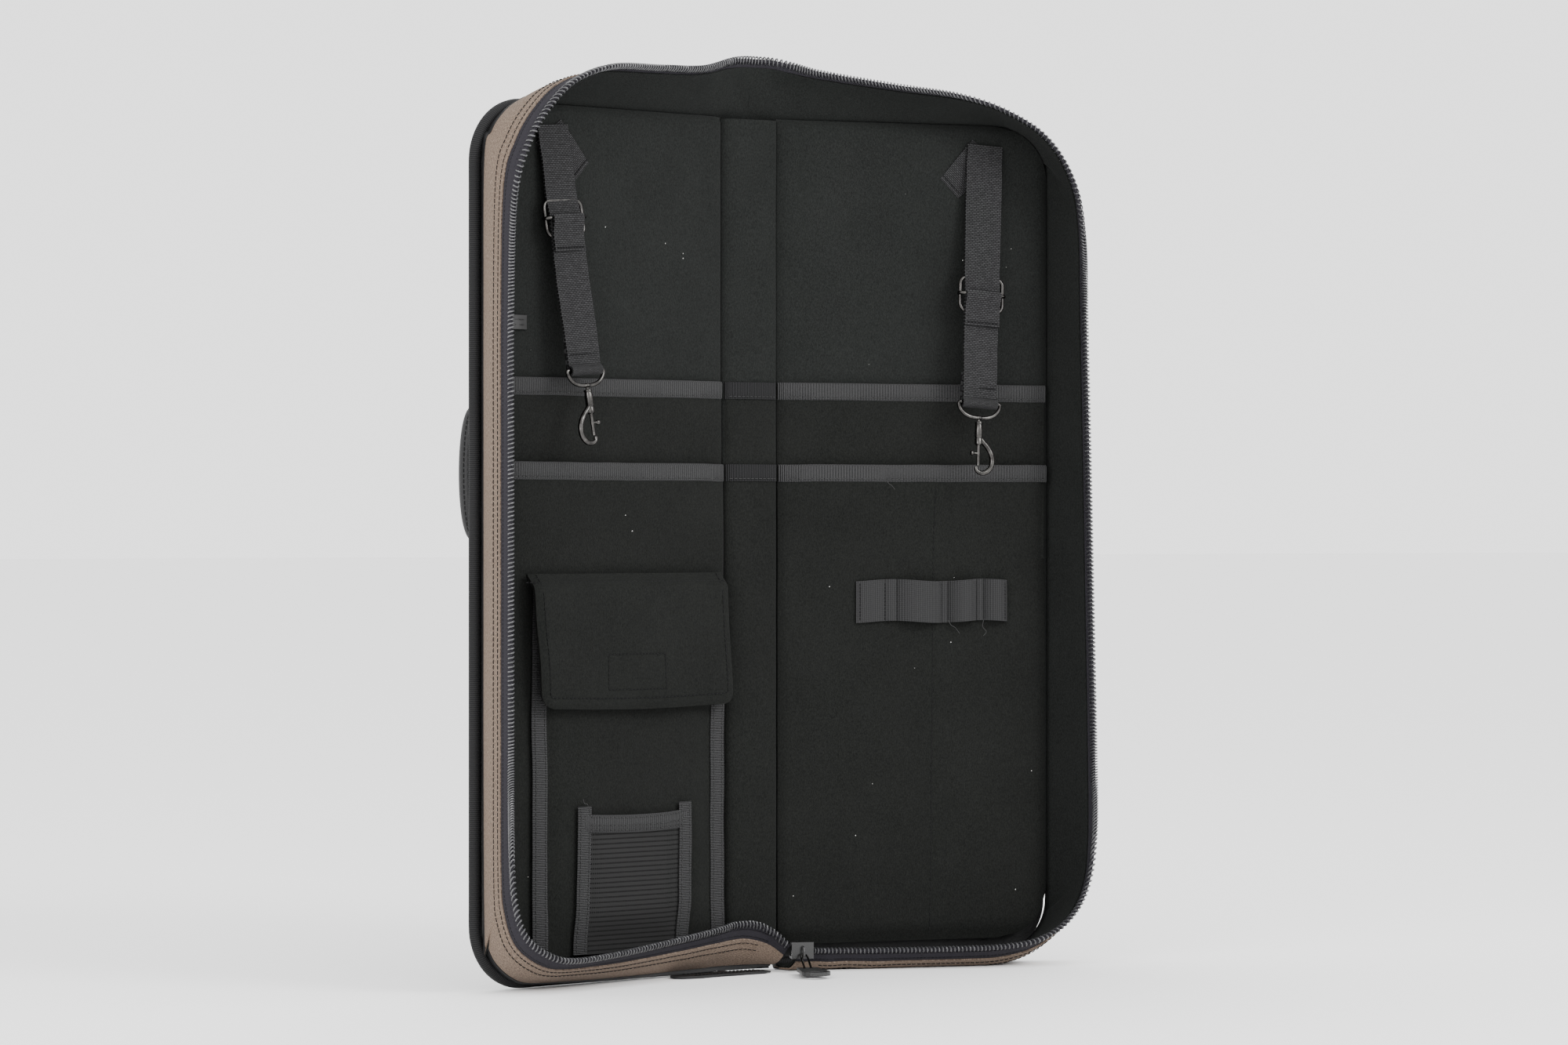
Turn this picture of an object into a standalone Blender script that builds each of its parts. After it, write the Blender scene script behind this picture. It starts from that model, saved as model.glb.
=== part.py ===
"""Drum stick bag, opened like a book and standing on its lower end.

Two padded halves fold on a narrow spine. The wall of each half carries one side of the zip on
its rim. Each half is modelled flat in its own frame, where u runs from the fold to the outer
edge, h is the height above the lining and z is up, and its frame is then turned on its fold.
Lengths are in millimetres and are scaled to metres as each piece is made.
"""

import math

import bmesh
import bpy
from mathutils import Vector

MM = 0.001
RIGHT, LEFT = 1, -1

# The two folds and the halves
SPINE_WIDTH = 37.0
REST_LEAN = math.radians(11.0)
PANEL_TOP = 499.5
PANEL_WIDTH = 175.5
CORNER_RADIUS = 35.5
PIPING_RADIUS = 2.5
PANEL_BACK, PANEL_FRONT = -10.0, -8.0
PAD_BACK = -7.2
PAD_WIDTH = 170.0
PAD_LOW, PAD_HIGH = 17.0, 494.0
PAD_RADIUS = 31.0
SEAM_GAP = 0.3

# The wall and the zip on its rim
RIM_WIDTH = 184.0
RIM_DEPTH = 35.0
FOLD_DEPTH = 14.0
DEPTH_RUN = 150.0
TOP_RIM = {RIGHT: 511.5, LEFT: 518.0}
TOP_RIM_AT_FOLD = 529.5
TOP_RADIUS = 78.0
FOOT_RIM = {RIGHT: 12.0, LEFT: 18.0}
FOOT_RIM_AT_FOLD = {RIGHT: 13.0, LEFT: 29.0}
FOOT_RADIUS = {RIGHT: 54.0, LEFT: 45.0}
COIL_RADIUS = 2.3
GUSSET_THICKNESS = 1.3
TAPE_THICKNESS = 0.9

# The pockets: sheets that stand off the lining, highest along their mouths
POCKET_START, POCKET_END = 4.0, 165.0
REAR_TOP, FRONT_TOP = 343.0, 295.3
BINDING_HEIGHT = 9.6
CLOTH = 1.0
POCKET_FOOT = 23.0
MOUTH_REACH = 50.0

# The hanging straps
STRAP_WIDTH = 22.0
STRAP_THICKNESS = 1.6
STRAP_SLANT = math.radians(4.2)
STRAP_LEAN = math.radians(7.0)
STRAP_PIVOT = (130.0, 3.2, 485.0)
STRAP_LENGTH = {RIGHT: 152.0, LEFT: 136.5}
GLIDE_DROP = {RIGHT: 90.0, LEFT: 53.0}
WIRE = 1.0


def clear_scene():
    for item in list(bpy.data.objects):
        bpy.data.objects.remove(item, do_unlink=True)


def make_material(name, colour, roughness, metallic=0.0):
    material = bpy.data.materials.new(name)
    material.use_nodes = True
    shader = material.node_tree.nodes["Principled BSDF"]
    shader.inputs["Base Color"].default_value = (*colour, 1.0)
    shader.inputs["Roughness"].default_value = roughness
    shader.inputs["Metallic"].default_value = metallic
    return material


clear_scene()
BAG = bpy.data.collections.new("drum_stick_bag")
bpy.context.scene.collection.children.link(BAG)

LEATHER = make_material("black_leathercloth", (0.014, 0.014, 0.015), 0.55)
PIPING = make_material("ribbed_piping", (0.012, 0.012, 0.013), 0.7)
LINING = make_material("brushed_lining", (0.026, 0.028, 0.027), 0.95)
MELANGE = make_material("beige_melange", (0.30, 0.22, 0.17), 0.9)
TAPE = make_material("zip_tape", (0.045, 0.044, 0.05), 0.85)
COIL = make_material("zip_coil_nylon", (0.02, 0.02, 0.022), 0.35)
BINDING = make_material("ribbed_binding", (0.09, 0.09, 0.09), 0.8)
WEBBING = make_material("strap_webbing", (0.07, 0.07, 0.07), 0.8)
MESH = make_material("pocket_mesh", (0.045, 0.045, 0.045), 0.8)
METAL = make_material("black_nickel", (0.12, 0.12, 0.12), 0.25, 1.0)
HOOK_LOOP = make_material("hook_and_loop", (0.02, 0.02, 0.02), 1.0)
RUBBER = make_material("moulded_rubber", (0.012, 0.012, 0.012), 0.6)


def add_object(name, data, material, parent=None):
    item = bpy.data.objects.new(name, data)
    data.materials.append(material)
    BAG.objects.link(item)
    item.parent = parent
    return item


def add_frame(name, parent=None, place=(0, 0, 0), turn=(0, 0, 0)):
    frame = bpy.data.objects.new(name, None)
    frame.empty_display_size = 0.02
    BAG.objects.link(frame)
    frame.parent = parent
    frame.location = Vector(place) * MM
    frame.rotation_euler = turn
    return frame


def sheet(name, rows, thickness, material, parent):
    """A soft sheet: a lofted surface through rows of (x, y, z) points, given its thickness."""
    mesh = bpy.data.meshes.new(name)
    shape = bmesh.new()
    grid = [[shape.verts.new(Vector(point) * MM) for point in row] for row in rows]
    for low, high in zip(grid, grid[1:]):
        for i in range(len(low) - 1):
            shape.faces.new((low[i], low[i + 1], high[i + 1], high[i]))
    bmesh.ops.recalc_face_normals(shape, faces=shape.faces)
    shape.to_mesh(mesh)
    shape.free()
    item = add_object(name, mesh, material, parent)
    wall = item.modifiers.new("cloth", "SOLIDIFY")
    wall.thickness = thickness * MM
    wall.offset = 0.0
    return item


def flat_shape(name, loops, thickness, material, parent, place, turn):
    """A flat outline, with any holes as further loops, extruded to its thickness."""
    curve = bpy.data.curves.new(name, "CURVE")
    curve.dimensions = "2D"
    curve.fill_mode = "BOTH"
    curve.extrude = thickness * MM / 2
    for loop in loops:
        spline = curve.splines.new("POLY")
        spline.points.add(len(loop) - 1)
        for point, (a, b) in zip(spline.points, loop):
            point.co = (a * MM, b * MM, 0, 1)
        spline.use_cyclic_u = True
    item = add_object(name, curve, material, parent)
    item.location = Vector(place) * MM
    item.rotation_euler = turn
    return item


def panel(name, outline, low, high, material, parent):
    """A plate parallel to the lining, from height low to height high above it."""
    place = (0, -(low + high) / 2, 0)
    return flat_shape(name, [outline], high - low, material, parent, place, (math.pi / 2, 0, 0))


def wire(name, points, radius, material, parent, cyclic=False, sides=2):
    curve = bpy.data.curves.new(name, "CURVE")
    curve.dimensions = "3D"
    curve.bevel_depth = radius * MM
    curve.bevel_resolution = sides
    curve.use_fill_caps = not cyclic
    spline = curve.splines.new("POLY")
    spline.points.add(len(points) - 1)
    for point, place in zip(spline.points, points):
        point.co = (*(Vector(place) * MM), 1)
    spline.use_cyclic_u = cyclic
    return add_object(name, curve, material, parent)


def arc(centre, radius, start, end, steps):
    """Points of an arc about centre, with its angles in degrees."""
    points = []
    for i in range(steps + 1):
        angle = math.radians(start + (end - start) * i / steps)
        points.append((centre[0] + radius * math.cos(angle), centre[1] + radius * math.sin(angle)))
    return points


def blend(a, b, t):
    return a + (b - a) * t


def smooth(t):
    t = min(max(t, 0.0), 1.0)
    return t * t * (3 - 2 * t)


def half_outline(side, start, width, low, high, radius, steps=6):
    """The outline of a half: square at the fold, round at its two outer corners."""
    points = [(start, low)]
    points += arc((width - radius, low + radius), radius, -90, 0, steps)
    points += arc((width - radius, high - radius), radius, 0, 90, steps)
    points.append((start, high))
    return [(side * u, z) for u, z in points]


def rectangle(side, u_low, u_high, z_low, z_high):
    corners = [(u_low, z_low), (u_high, z_low), (u_high, z_high), (u_low, z_high)]
    return [(side * u, z) for u, z in corners]


def place_in_half(side, u, h, z):
    return (side * u, -h, z)


# --------------------------------------------------------------- the wall round a half

def rim_depth(u):
    return blend(FOLD_DEPTH, RIM_DEPTH, min(u / DEPTH_RUN, 1.0))


def top_rim(side, u):
    return TOP_RIM[side] + (TOP_RIM_AT_FOLD - TOP_RIM[side]) * math.exp(-u / 45.0)


def foot_rim(side, u):
    rise = FOOT_RIM_AT_FOLD[side] - FOOT_RIM[side]
    return FOOT_RIM[side] + rise * math.exp(-u / 40.0)


def wall_stations(side, top, corner, upright, foot):
    """Pairs of base and rim points round a half, from the top of the fold to its foot."""
    seam = PANEL_WIDTH - PIPING_RADIUS
    base_radius = CORNER_RADIUS - PIPING_RADIUS
    low, high = PIPING_RADIUS, PANEL_TOP - PIPING_RADIUS
    seam_depth = PANEL_FRONT + 2.6
    foot_radius = FOOT_RADIUS[side]
    stations = []

    def add(base, rim, rim_h, sag):
        stations.append(((base[0], seam_depth, base[1]), (rim[0], rim_h, rim[1]), sag))

    for i in range(top):
        t = i / top
        rim_u = blend(0.9, RIM_WIDTH - TOP_RADIUS, t)
        base = (blend(0.9, seam - base_radius, t), high)
        add(base, (rim_u, top_rim(side, rim_u)), rim_depth(rim_u), 0.0)
    top_level = top_rim(side, RIM_WIDTH - TOP_RADIUS)
    rim_arc = arc((RIM_WIDTH - TOP_RADIUS, top_level - TOP_RADIUS), TOP_RADIUS, 90, 0, corner)
    base_arc = arc((seam - base_radius, high - base_radius), base_radius, 90, 0, corner)
    for base, rim in zip(base_arc, rim_arc):
        add(base, rim, rim_depth(rim[0]), 0.0)
    foot_level = foot_rim(side, RIM_WIDTH - foot_radius)
    for i in range(1, upright):
        t = i / upright
        rim_z = blend(top_level - TOP_RADIUS, foot_level + foot_radius, t)
        add((seam, blend(high - base_radius, low + base_radius, t)), (RIM_WIDTH, rim_z), RIM_DEPTH, 0.0)
    rim_arc = arc((RIM_WIDTH - foot_radius, foot_level + foot_radius), foot_radius, 0, -90, corner)
    base_arc = arc((seam - base_radius, low + base_radius), base_radius, 0, -90, corner)
    for i, (base, rim) in enumerate(zip(base_arc, rim_arc)):
        add(base, rim, rim_depth(rim[0]), smooth(i / corner))
    for i in range(1, foot + 1):
        t = i / foot
        rim_u = blend(RIM_WIDTH - foot_radius, 0.9, t)
        add((blend(seam - base_radius, 0.9, t), low), (rim_u, foot_rim(side, rim_u)), rim_depth(rim_u), 1.0)
    return stations


def wall_point(side, station, s):
    """A point of the wall, at share s of the way from its base to the rim.

    Along the foot the cloth sags, so that it rests on the ground and turns up at the rim.
    """
    base, rim, sag = station
    u, h, z = (blend(base[i], rim[i], s) for i in range(3))
    drop = (z - base[2] - 0.2) * (0.92 if side == RIGHT else 0.45)
    z -= sag * drop * math.sin(math.pi * min(s * 1.25, 1.0)) ** 0.8
    return place_in_half(side, u, h, z)


def wall_band(name, side, low, high, rows, thickness, material, parent, counts=(7, 6, 6, 6)):
    stations = wall_stations(side, *counts)
    shares = [blend(low, high, i / rows) for i in range(rows + 1)]
    grid = [[wall_point(side, station, s) for station in stations] for s in shares]
    return sheet(name, grid, thickness, material, parent)


# --------------------------------------------------------------- pockets

def across(u, start, end, ramp):
    """0 at both sewn sides of a pocket and 1 between them."""
    return smooth((u - start) / ramp) * smooth((end - u) / ramp)


def pocket_height(u, z, top):
    """How far a stick pocket stands off: full at the mouth, less below and none at the foot."""
    mouth = smooth((z - top + MOUTH_REACH) / (0.7 * MOUTH_REACH))
    body = 0.42 * smooth((z - POCKET_FOOT) / 60.0)
    return max(body, mouth) * across(u, POCKET_START, POCKET_END, 22.0)


def rear_sheet(u, z):
    return 0.95 + 5.0 * pocket_height(u, z, REAR_TOP)


def front_sheet(u, z):
    return 2.45 + 10.2 * pocket_height(u, z, FRONT_TOP)


def accessory_sheet(u, z):
    body = blend(0.45, 1.0, smooth((z - 100.0) / 30.0)) * smooth((z - 29.0) / 25.0)
    return 8.2 + 6.2 * body * across(u, 17.0, 137.0, 14.0)


def mesh_sheet(u, z):
    return 12.8 + 4.8 * across(u, 44.0, 109.5, 14.0) * smooth((z - 28.0) / 25.0)


def pocket(name, side, surface, u_range, z_range, material, parent, columns=14, rows=8, lift=0.0):
    grid = []
    for j in range(rows + 1):
        z = blend(z_range[0], z_range[1], j / rows)
        row = []
        for i in range(columns + 1):
            u = blend(u_range[0], u_range[1], i / columns)
            row.append(place_in_half(side, u, surface(u, z) + lift, z))
        grid.append(row)
    return sheet(name, grid, CLOTH, material, parent)


# --------------------------------------------------------------- one hanging strap

def add_strap(side, prefix, half):
    """A webbing strap with an adjuster and a swivel snap hook, in its own hanging frame."""
    u, h, z = STRAP_PIVOT
    pivot = add_frame(prefix + "strap_pivot", half, place_in_half(side, u, h, z),
                      (-STRAP_LEAN, side * STRAP_SLANT, 0))
    eye_z = -STRAP_LENGTH[side] - 3.0
    back, front = STRAP_THICKNESS / 2, -STRAP_THICKNESS / 2
    outline = [(back, -1.0)] + arc((0, eye_z), 3.2, 75, -255, 12) + [(front, -1.0)]
    hole = arc((0, eye_z), 1.75, 0, 330, 11)
    flat_shape(prefix + "strap_webbing", [outline, hole], STRAP_WIDTH, WEBBING, pivot,
               (0, 0, 0), (math.pi / 2, 0, math.pi / 2))

    drop = -GLIDE_DROP[side]
    glide = add_frame(prefix + "glide_frame_origin", pivot, (0, 0, drop))
    half_w, half_h, turn = 13.2, 10.0, 4.0
    ring = []
    for cx, cz, start in ((1, 1, 90), (1, -1, 0), (-1, -1, -90), (-1, 1, 180)):
        centre = (cx * (half_w - turn), cz * (half_h - turn))
        ring += arc(centre, turn, start, start - 90, 4)
    wire(prefix + "glide_frame", [(a, -2.6, b) for a, b in ring], WIRE, METAL, glide, cyclic=True)
    bar = [(-13.2, -0.1, 0), (-13.2, 1.0, 0), (-12.2, 2.4, 0), (-6, 2.6, 0), (6, 2.6, 0),
           (12.2, 2.4, 0), (13.2, 1.0, 0), (13.2, -0.1, 0)]
    wire(prefix + "glide_bar", bar, WIRE, METAL, glide)

    eye = add_frame(prefix + "eye_pivot", pivot, (0, 0, eye_z))
    loop = [(-12.9, 0, 0), (-12.6, 0, -3.4), (-8.9, 0, -6.8), (-3.4, 0, -8.4), (3.4, 0, -8.4),
            (8.9, 0, -6.8), (12.6, 0, -3.4), (12.9, 0, 0), (5, 0, 0), (-5, 0, 0)]
    wire(prefix + "swivel_eye", loop, 1.2, METAL, eye, cyclic=True)

    hook = add_frame(prefix + "hook_pivot", eye, (0, 0, -10.8))
    add_hook(side, prefix, hook)


def add_hook(side, prefix, hook):
    """The snap hook below its swivel: a barrel that runs on into the hook, and a sliding bolt."""
    barrel_turn = [(0.0, 0.9), (2.3, 0.9), (2.3, -14.0), (1.55, -14.6), (1.55, -4.5), (0.0, -4.5)]
    mesh = bpy.data.meshes.new(prefix + "barrel")
    shape = bmesh.new()
    verts = [shape.verts.new((r * MM, 0, z * MM)) for r, z in barrel_turn]
    for a, b in zip(verts, verts[1:]):
        shape.edges.new((a, b))
    shape.to_mesh(mesh)
    shape.free()
    barrel = add_object(prefix + "hook_body", mesh, METAL, hook)
    turn = barrel.modifiers.new("turned", "SCREW")
    turn.axis = "Z"
    turn.steps = turn.render_steps = 12
    turn.use_merge_vertices = True
    turn.merge_threshold = 0.00005

    reach = -side
    path = [(2.8, -9.0), (3.6, -11.5), (6.4, -14.8), (8.4, -19.5), (8.3, -24.5), (5.8, -28.6),
            (1.8, -30.0), (-0.4, -28.9), (-0.5, -27.2)]
    curl = wire(prefix + "hook_curl", [(-reach * a, 0, b) for a, b in path], 1.25, METAL, hook)
    join(barrel, curl)

    stem = wire(prefix + "hook_bolt", [(0, 0, -9.6), (0, 0, -25.4)], 1.05, METAL, hook)
    stud = wire(prefix + "bolt_stud", [(0, 0, -19.5), (reach * 4.2, 0, -19.5)], 0.8, METAL, hook)
    join(stem, stud)


def as_mesh(item):
    """Makes a curve or an object with modifiers a plain mesh at the same place."""
    bpy.context.view_layer.update()
    evaluated = item.evaluated_get(bpy.context.evaluated_depsgraph_get())
    mesh = bpy.data.meshes.new_from_object(evaluated)
    shape = bmesh.new()
    shape.from_mesh(mesh)
    bmesh.ops.remove_doubles(shape, verts=shape.verts, dist=0.00002)
    bmesh.ops.recalc_face_normals(shape, faces=shape.faces)
    shape.to_mesh(mesh)
    shape.free()
    name, parent, place = item.name, item.parent, item.matrix_basis.copy()
    bpy.data.objects.remove(item, do_unlink=True)
    solid = bpy.data.objects.new(name, mesh)
    BAG.objects.link(solid)
    solid.parent = parent
    solid.matrix_basis = place
    return solid


def join(main, extra):
    """Unites extra with main by a Boolean and removes extra."""
    main, extra = as_mesh(main), as_mesh(extra)
    bpy.context.view_layer.update()
    union = main.modifiers.new("joined", "BOOLEAN")
    union.operation = "UNION"
    union.object = extra
    solid = as_mesh(main)
    bpy.data.objects.remove(extra, do_unlink=True)
    return solid


# --------------------------------------------------------------- a half of the bag

def add_half(side, prefix):
    half = add_frame(prefix + "half_frame", None, (side * SPINE_WIDTH / 2, 0, 0),
                     (0, 0, -side * REST_LEAN))
    edge = 2 * PIPING_RADIUS + SEAM_GAP
    outline = half_outline(side, 0.9, PANEL_WIDTH - edge, edge, PANEL_TOP - edge,
                           CORNER_RADIUS - edge)
    panel(prefix + "outer_panel", outline, PANEL_BACK, PANEL_FRONT, LEATHER, half)
    piping = half_outline(side, 0.9, PANEL_WIDTH - PIPING_RADIUS, PIPING_RADIUS,
                          PANEL_TOP - PIPING_RADIUS, CORNER_RADIUS - PIPING_RADIUS, 8)
    roll = [(a, 8.6, b) for a, b in piping]
    wire(prefix + "piping", roll, PIPING_RADIUS, PIPING, half)
    outline = half_outline(side, 0.9, PAD_WIDTH, PAD_LOW, PAD_HIGH, PAD_RADIUS)
    panel(prefix + "lining_pad", outline, PAD_BACK, 0.0, LINING, half)

    wall_band(prefix + "gusset", side, 0.0, 0.60, 4, GUSSET_THICKNESS, MELANGE, half)
    wall_band(prefix + "zip_tape", side, 0.625, 0.90, 2, TAPE_THICKNESS, TAPE, half)
    rim = [wall_point(side, station, 1.0) for station in wall_stations(side, 14, 8, 10, 12)]
    wire(prefix + "zip_coil", rim, COIL_RADIUS, COIL, half, sides=1)

    reach = (POCKET_START, POCKET_END)
    pocket(prefix + "rear_pocket", side, rear_sheet, reach, (POCKET_FOOT, REAR_TOP), LINING, half)
    pocket(prefix + "front_pocket", side, front_sheet, reach, (POCKET_FOOT, FRONT_TOP), LINING, half)
    lift = CLOTH + SEAM_GAP
    pocket(prefix + "upper_binding", side, rear_sheet, reach,
           (REAR_TOP - BINDING_HEIGHT, REAR_TOP), BINDING, half, rows=1, lift=lift)
    pocket(prefix + "lower_binding", side, front_sheet, reach,
           (FRONT_TOP - BINDING_HEIGHT, FRONT_TOP), BINDING, half, rows=1, lift=lift)

    anchor = [(102.4, 466.5), (113.0, 453.5), (139.5, 476.0), (122.0, 489.0)]
    panel(prefix + "strap_anchor", [(side * u, z) for u, z in anchor], 0.3, 1.9, WEBBING, half)
    add_strap(side, prefix, half)
    return half


def add_left_fittings(half):
    """The accessory pocket with its flap, the mesh pocket, the label tab and the handle."""
    side = LEFT
    pocket("accessory_pocket", side, accessory_sheet, (5.0, 148.0), (29.5, 227.0), LINING, half)
    panel("accessory_binding_inner", rectangle(side, 4.5, 14.5, 28.0, 228.0), 9.1, 10.3, BINDING, half)
    panel("accessory_binding_outer", rectangle(side, 137.5, 148.5, 28.0, 228.0), 9.1, 10.3, BINDING, half)
    panel("loop_patch", rectangle(side, 58.0, 100.0, 169.0, 189.0), 15.3, 16.3, HOOK_LOOP, half)
    pocket("mesh_pocket", side, mesh_sheet, (36.0, 118.0), (29.0, 101.0), MESH, half, 12, 5)
    panel("mesh_binding_inner", rectangle(side, 35.0, 43.5, 28.0, 102.5), 13.8, 14.9, BINDING, half)
    panel("mesh_binding_outer", rectangle(side, 110.0, 119.0, 28.0, 102.5), 13.8, 14.9, BINDING, half)
    pocket("mesh_binding_top", side, mesh_sheet, (44.2, 109.2), (90.5, 101.0), BINDING, half, 10, 1,
           lift=CLOTH + 1.0)

    hinge = add_frame("flap_hinge_frame", half, place_in_half(side, 84.0, 9.5, 235.0))
    rows = []
    for drop, lift in ((-0.5, 0.0), (-2.0, 4.4), (-5.5, 8.2), (-40.0, 9.6), (-66.0, 9.7), (-77.0, 9.4)):
        narrow = 0.0 if drop > -60 else 5.0
        left_edge = 73.0 + 0.16 * drop - (narrow + 0.3 * (-60 - drop) if drop < -60 else 0.0)
        rows.append([(-blend(-75.5, left_edge, i / 8), -lift, drop) for i in range(9)])
    sheet("pocket_flap", rows, 1.8, LINING, hinge)
    patch = [(u - 84.0, z - 235.0) for u, z in ((58, 169), (100, 169), (100, 189), (58, 189))]
    panel("hook_patch", [(side * u, z) for u, z in patch], 7.2, 8.1, HOOK_LOOP, hinge)

    panel("label_tab", rectangle(side, 144.0, 169.0, 370.0, 377.3), 1.0, 1.8, WEBBING, half)
    tab = [(-4.0, 8.0), (-4.0, 18.0), (0.0, 21.0), (40.0, 14.0), (45.0, 9.0), (44.0, 3.0), (38.0, 0.0),
           (12.0, 3.0), (4.0, 1.0)]
    flat_shape("foot_tab", [[(side * u, -h) for u, h in tab]], 1.2, LEATHER, half, (0, 0, 0.8), (0, 0, 0))

    grip_u, low, high = 165.0, 233.0, 343.0
    for name, z in (("handle_anchor_lower", low - 3), ("handle_anchor_upper", high + 3)):
        pad = rectangle(side, grip_u - 8, grip_u + 4.5, z - 8, z + 8)
        panel(name, pad, PANEL_BACK - 2.3, PANEL_BACK - 0.3, LEATHER, half)
    grip = add_frame("handle_frame", half, place_in_half(side, grip_u, -15.5, (low + high) / 2))
    rows = []
    for i in range(13):
        t = -1 + i / 6
        width = blend(3.0, 9.0, smooth((1 - abs(t)) / 0.3))
        back = 23.0 * (1 - t * t)
        rows.append([(x, back, 55.0 * t) for x in (-width, -width / 3, width / 3, width)])
    sheet("handle_grip", rows, 3.4, LEATHER, grip)


def add_right_fittings(half):
    """The row of elastic loops, sewn down between its loops."""
    loops = ((51.0, 66.0, 1.5), (74.0, 100.5, 6.0), (106.0, 122.5, 7.0), (128.5, 141.0, 6.0))
    start, end, base = 48.0, 143.5, 8.2
    front, holes = [], []
    for low, high, bulge in loops:
        front.append((low, base + 2.2))
        hole = [(low + 1.0, base + 1.1), (high - 1.0, base + 1.1)]
        top = []
        for i in range(1, 8):
            t = i / 8
            u = blend(low, high, t)
            rise = bulge * math.sin(math.pi * t) ** 0.6
            front.append((u, base + 2.2 + rise))
            top.append((blend(low + 1.0, high - 1.0, t), base + 1.15 + rise))
        front.append((high, base + 2.2))
        if bulge > 2.0:
            holes.append([*hole, *top[::-1]])
    outline = [(start, base), (end, base), (end, base + 2.2), *front[::-1], (start, base + 2.2)]
    flat_shape("elastic_loops", [[(u, -h) for u, h in loop] for loop in (outline, *holes)], 24.5,
               WEBBING, half, (0, 0, 215.5), (0, 0, 0))


def add_spine():
    """The strip between the folds, with the soft webs that join the walls over it."""
    half_width = SPINE_WIDTH / 2 - SEAM_GAP
    strip = panel("spine_outer_strip", rectangle(1, -half_width, half_width, 0.3, PANEL_TOP - 0.3),
                  PANEL_BACK, PANEL_FRONT, LEATHER, None)
    join(strip, flat_shape("spine_foot", [[(-7, 2.5), (7, 2.5), (7, 8.5), (-7, 8.5)]], 1.2, LEATHER,
                           None, (0, 0, 0.65), (0, 0, 0)))
    panel("spine_pad", rectangle(1, -half_width, half_width, PAD_LOW, PAD_HIGH),
          PAD_BACK, 0.0, LINING, None)
    panel("spine_pocket_strip", rectangle(1, -17.3, 17.3, POCKET_FOOT, REAR_TOP),
          0.3, 2.3, LINING, None)

    reach = SPINE_WIDTH / 2 - FOLD_DEPTH * math.sin(REST_LEAN) - 0.5
    columns = 8

    def web(name, base_z, rim_at, low, high, thickness, material):
        grid = []
        for s in (low, blend(low, high, 0.5), high):
            row = []
            for i in range(columns + 1):
                t = -1 + 2 * i / columns
                x, y, z = rim_at(t)
                row.append((blend(half_width * t, x, s), blend(5.4, y, s), blend(base_z, z, s)))
            grid.append(row)
        return sheet(name, grid, thickness, material, None)

    def top_at(t):
        return (reach * t, blend(-8.5, -13.9, t * t), blend(531.0, TOP_RIM_AT_FOLD, t * t))

    def foot_at(t):
        return (blend(-reach, 11.0, (t + 1) / 2), blend(-9.5, -13.9, t * t),
                blend(29.0, 24.5, max(t, 0.0)))

    web("spine_top_gusset", PANEL_TOP - PIPING_RADIUS, top_at, 0.0, 0.9, GUSSET_THICKNESS, LEATHER)
    web("spine_bottom_gusset", PIPING_RADIUS, foot_at, 0.0, 0.9, GUSSET_THICKNESS, LEATHER)
    steps = [-1 + i / 6 for i in range(13)]
    wire("spine_zip_top", [top_at(t) for t in steps], COIL_RADIUS, COIL, None, sides=1)
    wire("spine_zip_bottom", [foot_at(t) for t in steps], COIL_RADIUS, COIL, None, sides=1)


def add_zip_pull(half):
    """The slider on the right rim, its wire link and the rubber tab that lies on the ground.

    The slider's channel is open towards the wall, so that the tape can leave it.
    """
    length, place_u = 13.0, 9.5
    slope = math.atan((RIM_DEPTH - FOLD_DEPTH) / DEPTH_RUN)
    coil = place_in_half(RIGHT, place_u, rim_depth(place_u), foot_rim(RIGHT, place_u))
    slider = add_frame("slider_frame", half, coil, (0, 0, -slope))
    outer, inner, lip = 4.8, 3.3, 2.0
    channel = [(lip, -outer), (-outer, -outer), (-outer, outer), (outer, outer), (outer, inner),
               (-inner, inner), (-inner, -inner), (lip, -inner)]
    body = flat_shape("slider_body", [channel], length, METAL, slider, (0, 0, 0),
                      (math.pi / 2, 0, math.pi / 2))
    arch = [(0, -outer + 0.5, 2.2), (0, -8.0, 1.6), (0, -8.9, -0.4), (0, -8.9, -2.6),
            (0, -8.0, -4.0), (0, -outer + 0.5, -4.0)]
    join(body, wire("slider_bridge", arch, 0.8, METAL, slider))

    pitch, reach, half_width, rod = math.radians(29.0), 12.0, 1.95, 0.65
    link = add_frame("link_frame", slider, (0, -6.5, -2.2))
    ring = arc((0, 0), half_width, 0, 180, 8) + arc((0, -reach), half_width, 180, 360, 8)
    ring = [(a, (b - half_width) * math.cos(pitch), (b - half_width) * math.sin(pitch))
            for a, b in ring]
    wire("pull_link", ring, rod, METAL, link, cyclic=True)
    far = reach + 2 * half_width
    tab = add_frame("tab_frame", link, (0, -far * math.cos(pitch), -far * math.sin(pitch)))
    eye_half = half_width + rod + 0.6
    outline = [(-6.0, 5.2), (6.0, 5.2), (6.6, -4), (7.4, -10)] + arc((0, -20), 8.4, 15, -195, 12)
    outline += [(-7.4, -10), (-6.6, -4)]
    hole = [(5.4 * math.cos(a), -21 + 3.6 * math.sin(a)) for a in
            (math.radians(30 * i) for i in range(12))]
    eye = [(-eye_half, 3.1), (-eye_half, -1.8), (eye_half, -1.8), (eye_half, 3.1)]
    flat_shape("pull_tab", [outline, hole, eye], 2.2, RUBBER, tab, (0, 0, 0), (0, 0, 0))


add_spine()
right_half = add_half(RIGHT, "right_")
left_half = add_half(LEFT, "left_")
add_left_fittings(left_half)
add_right_fittings(right_half)
add_zip_pull(right_half)
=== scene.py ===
"""The looks of a drum stick bag that stands open like a book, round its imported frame.

Lengths are in millimetres, and MM turns them into metres as a point is placed. Each half is
laid out as it lies flat: u runs from the fold to the outer edge, h stands up from the lining
towards the viewer and z is the height above the ground.
"""

import math
import random

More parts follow.
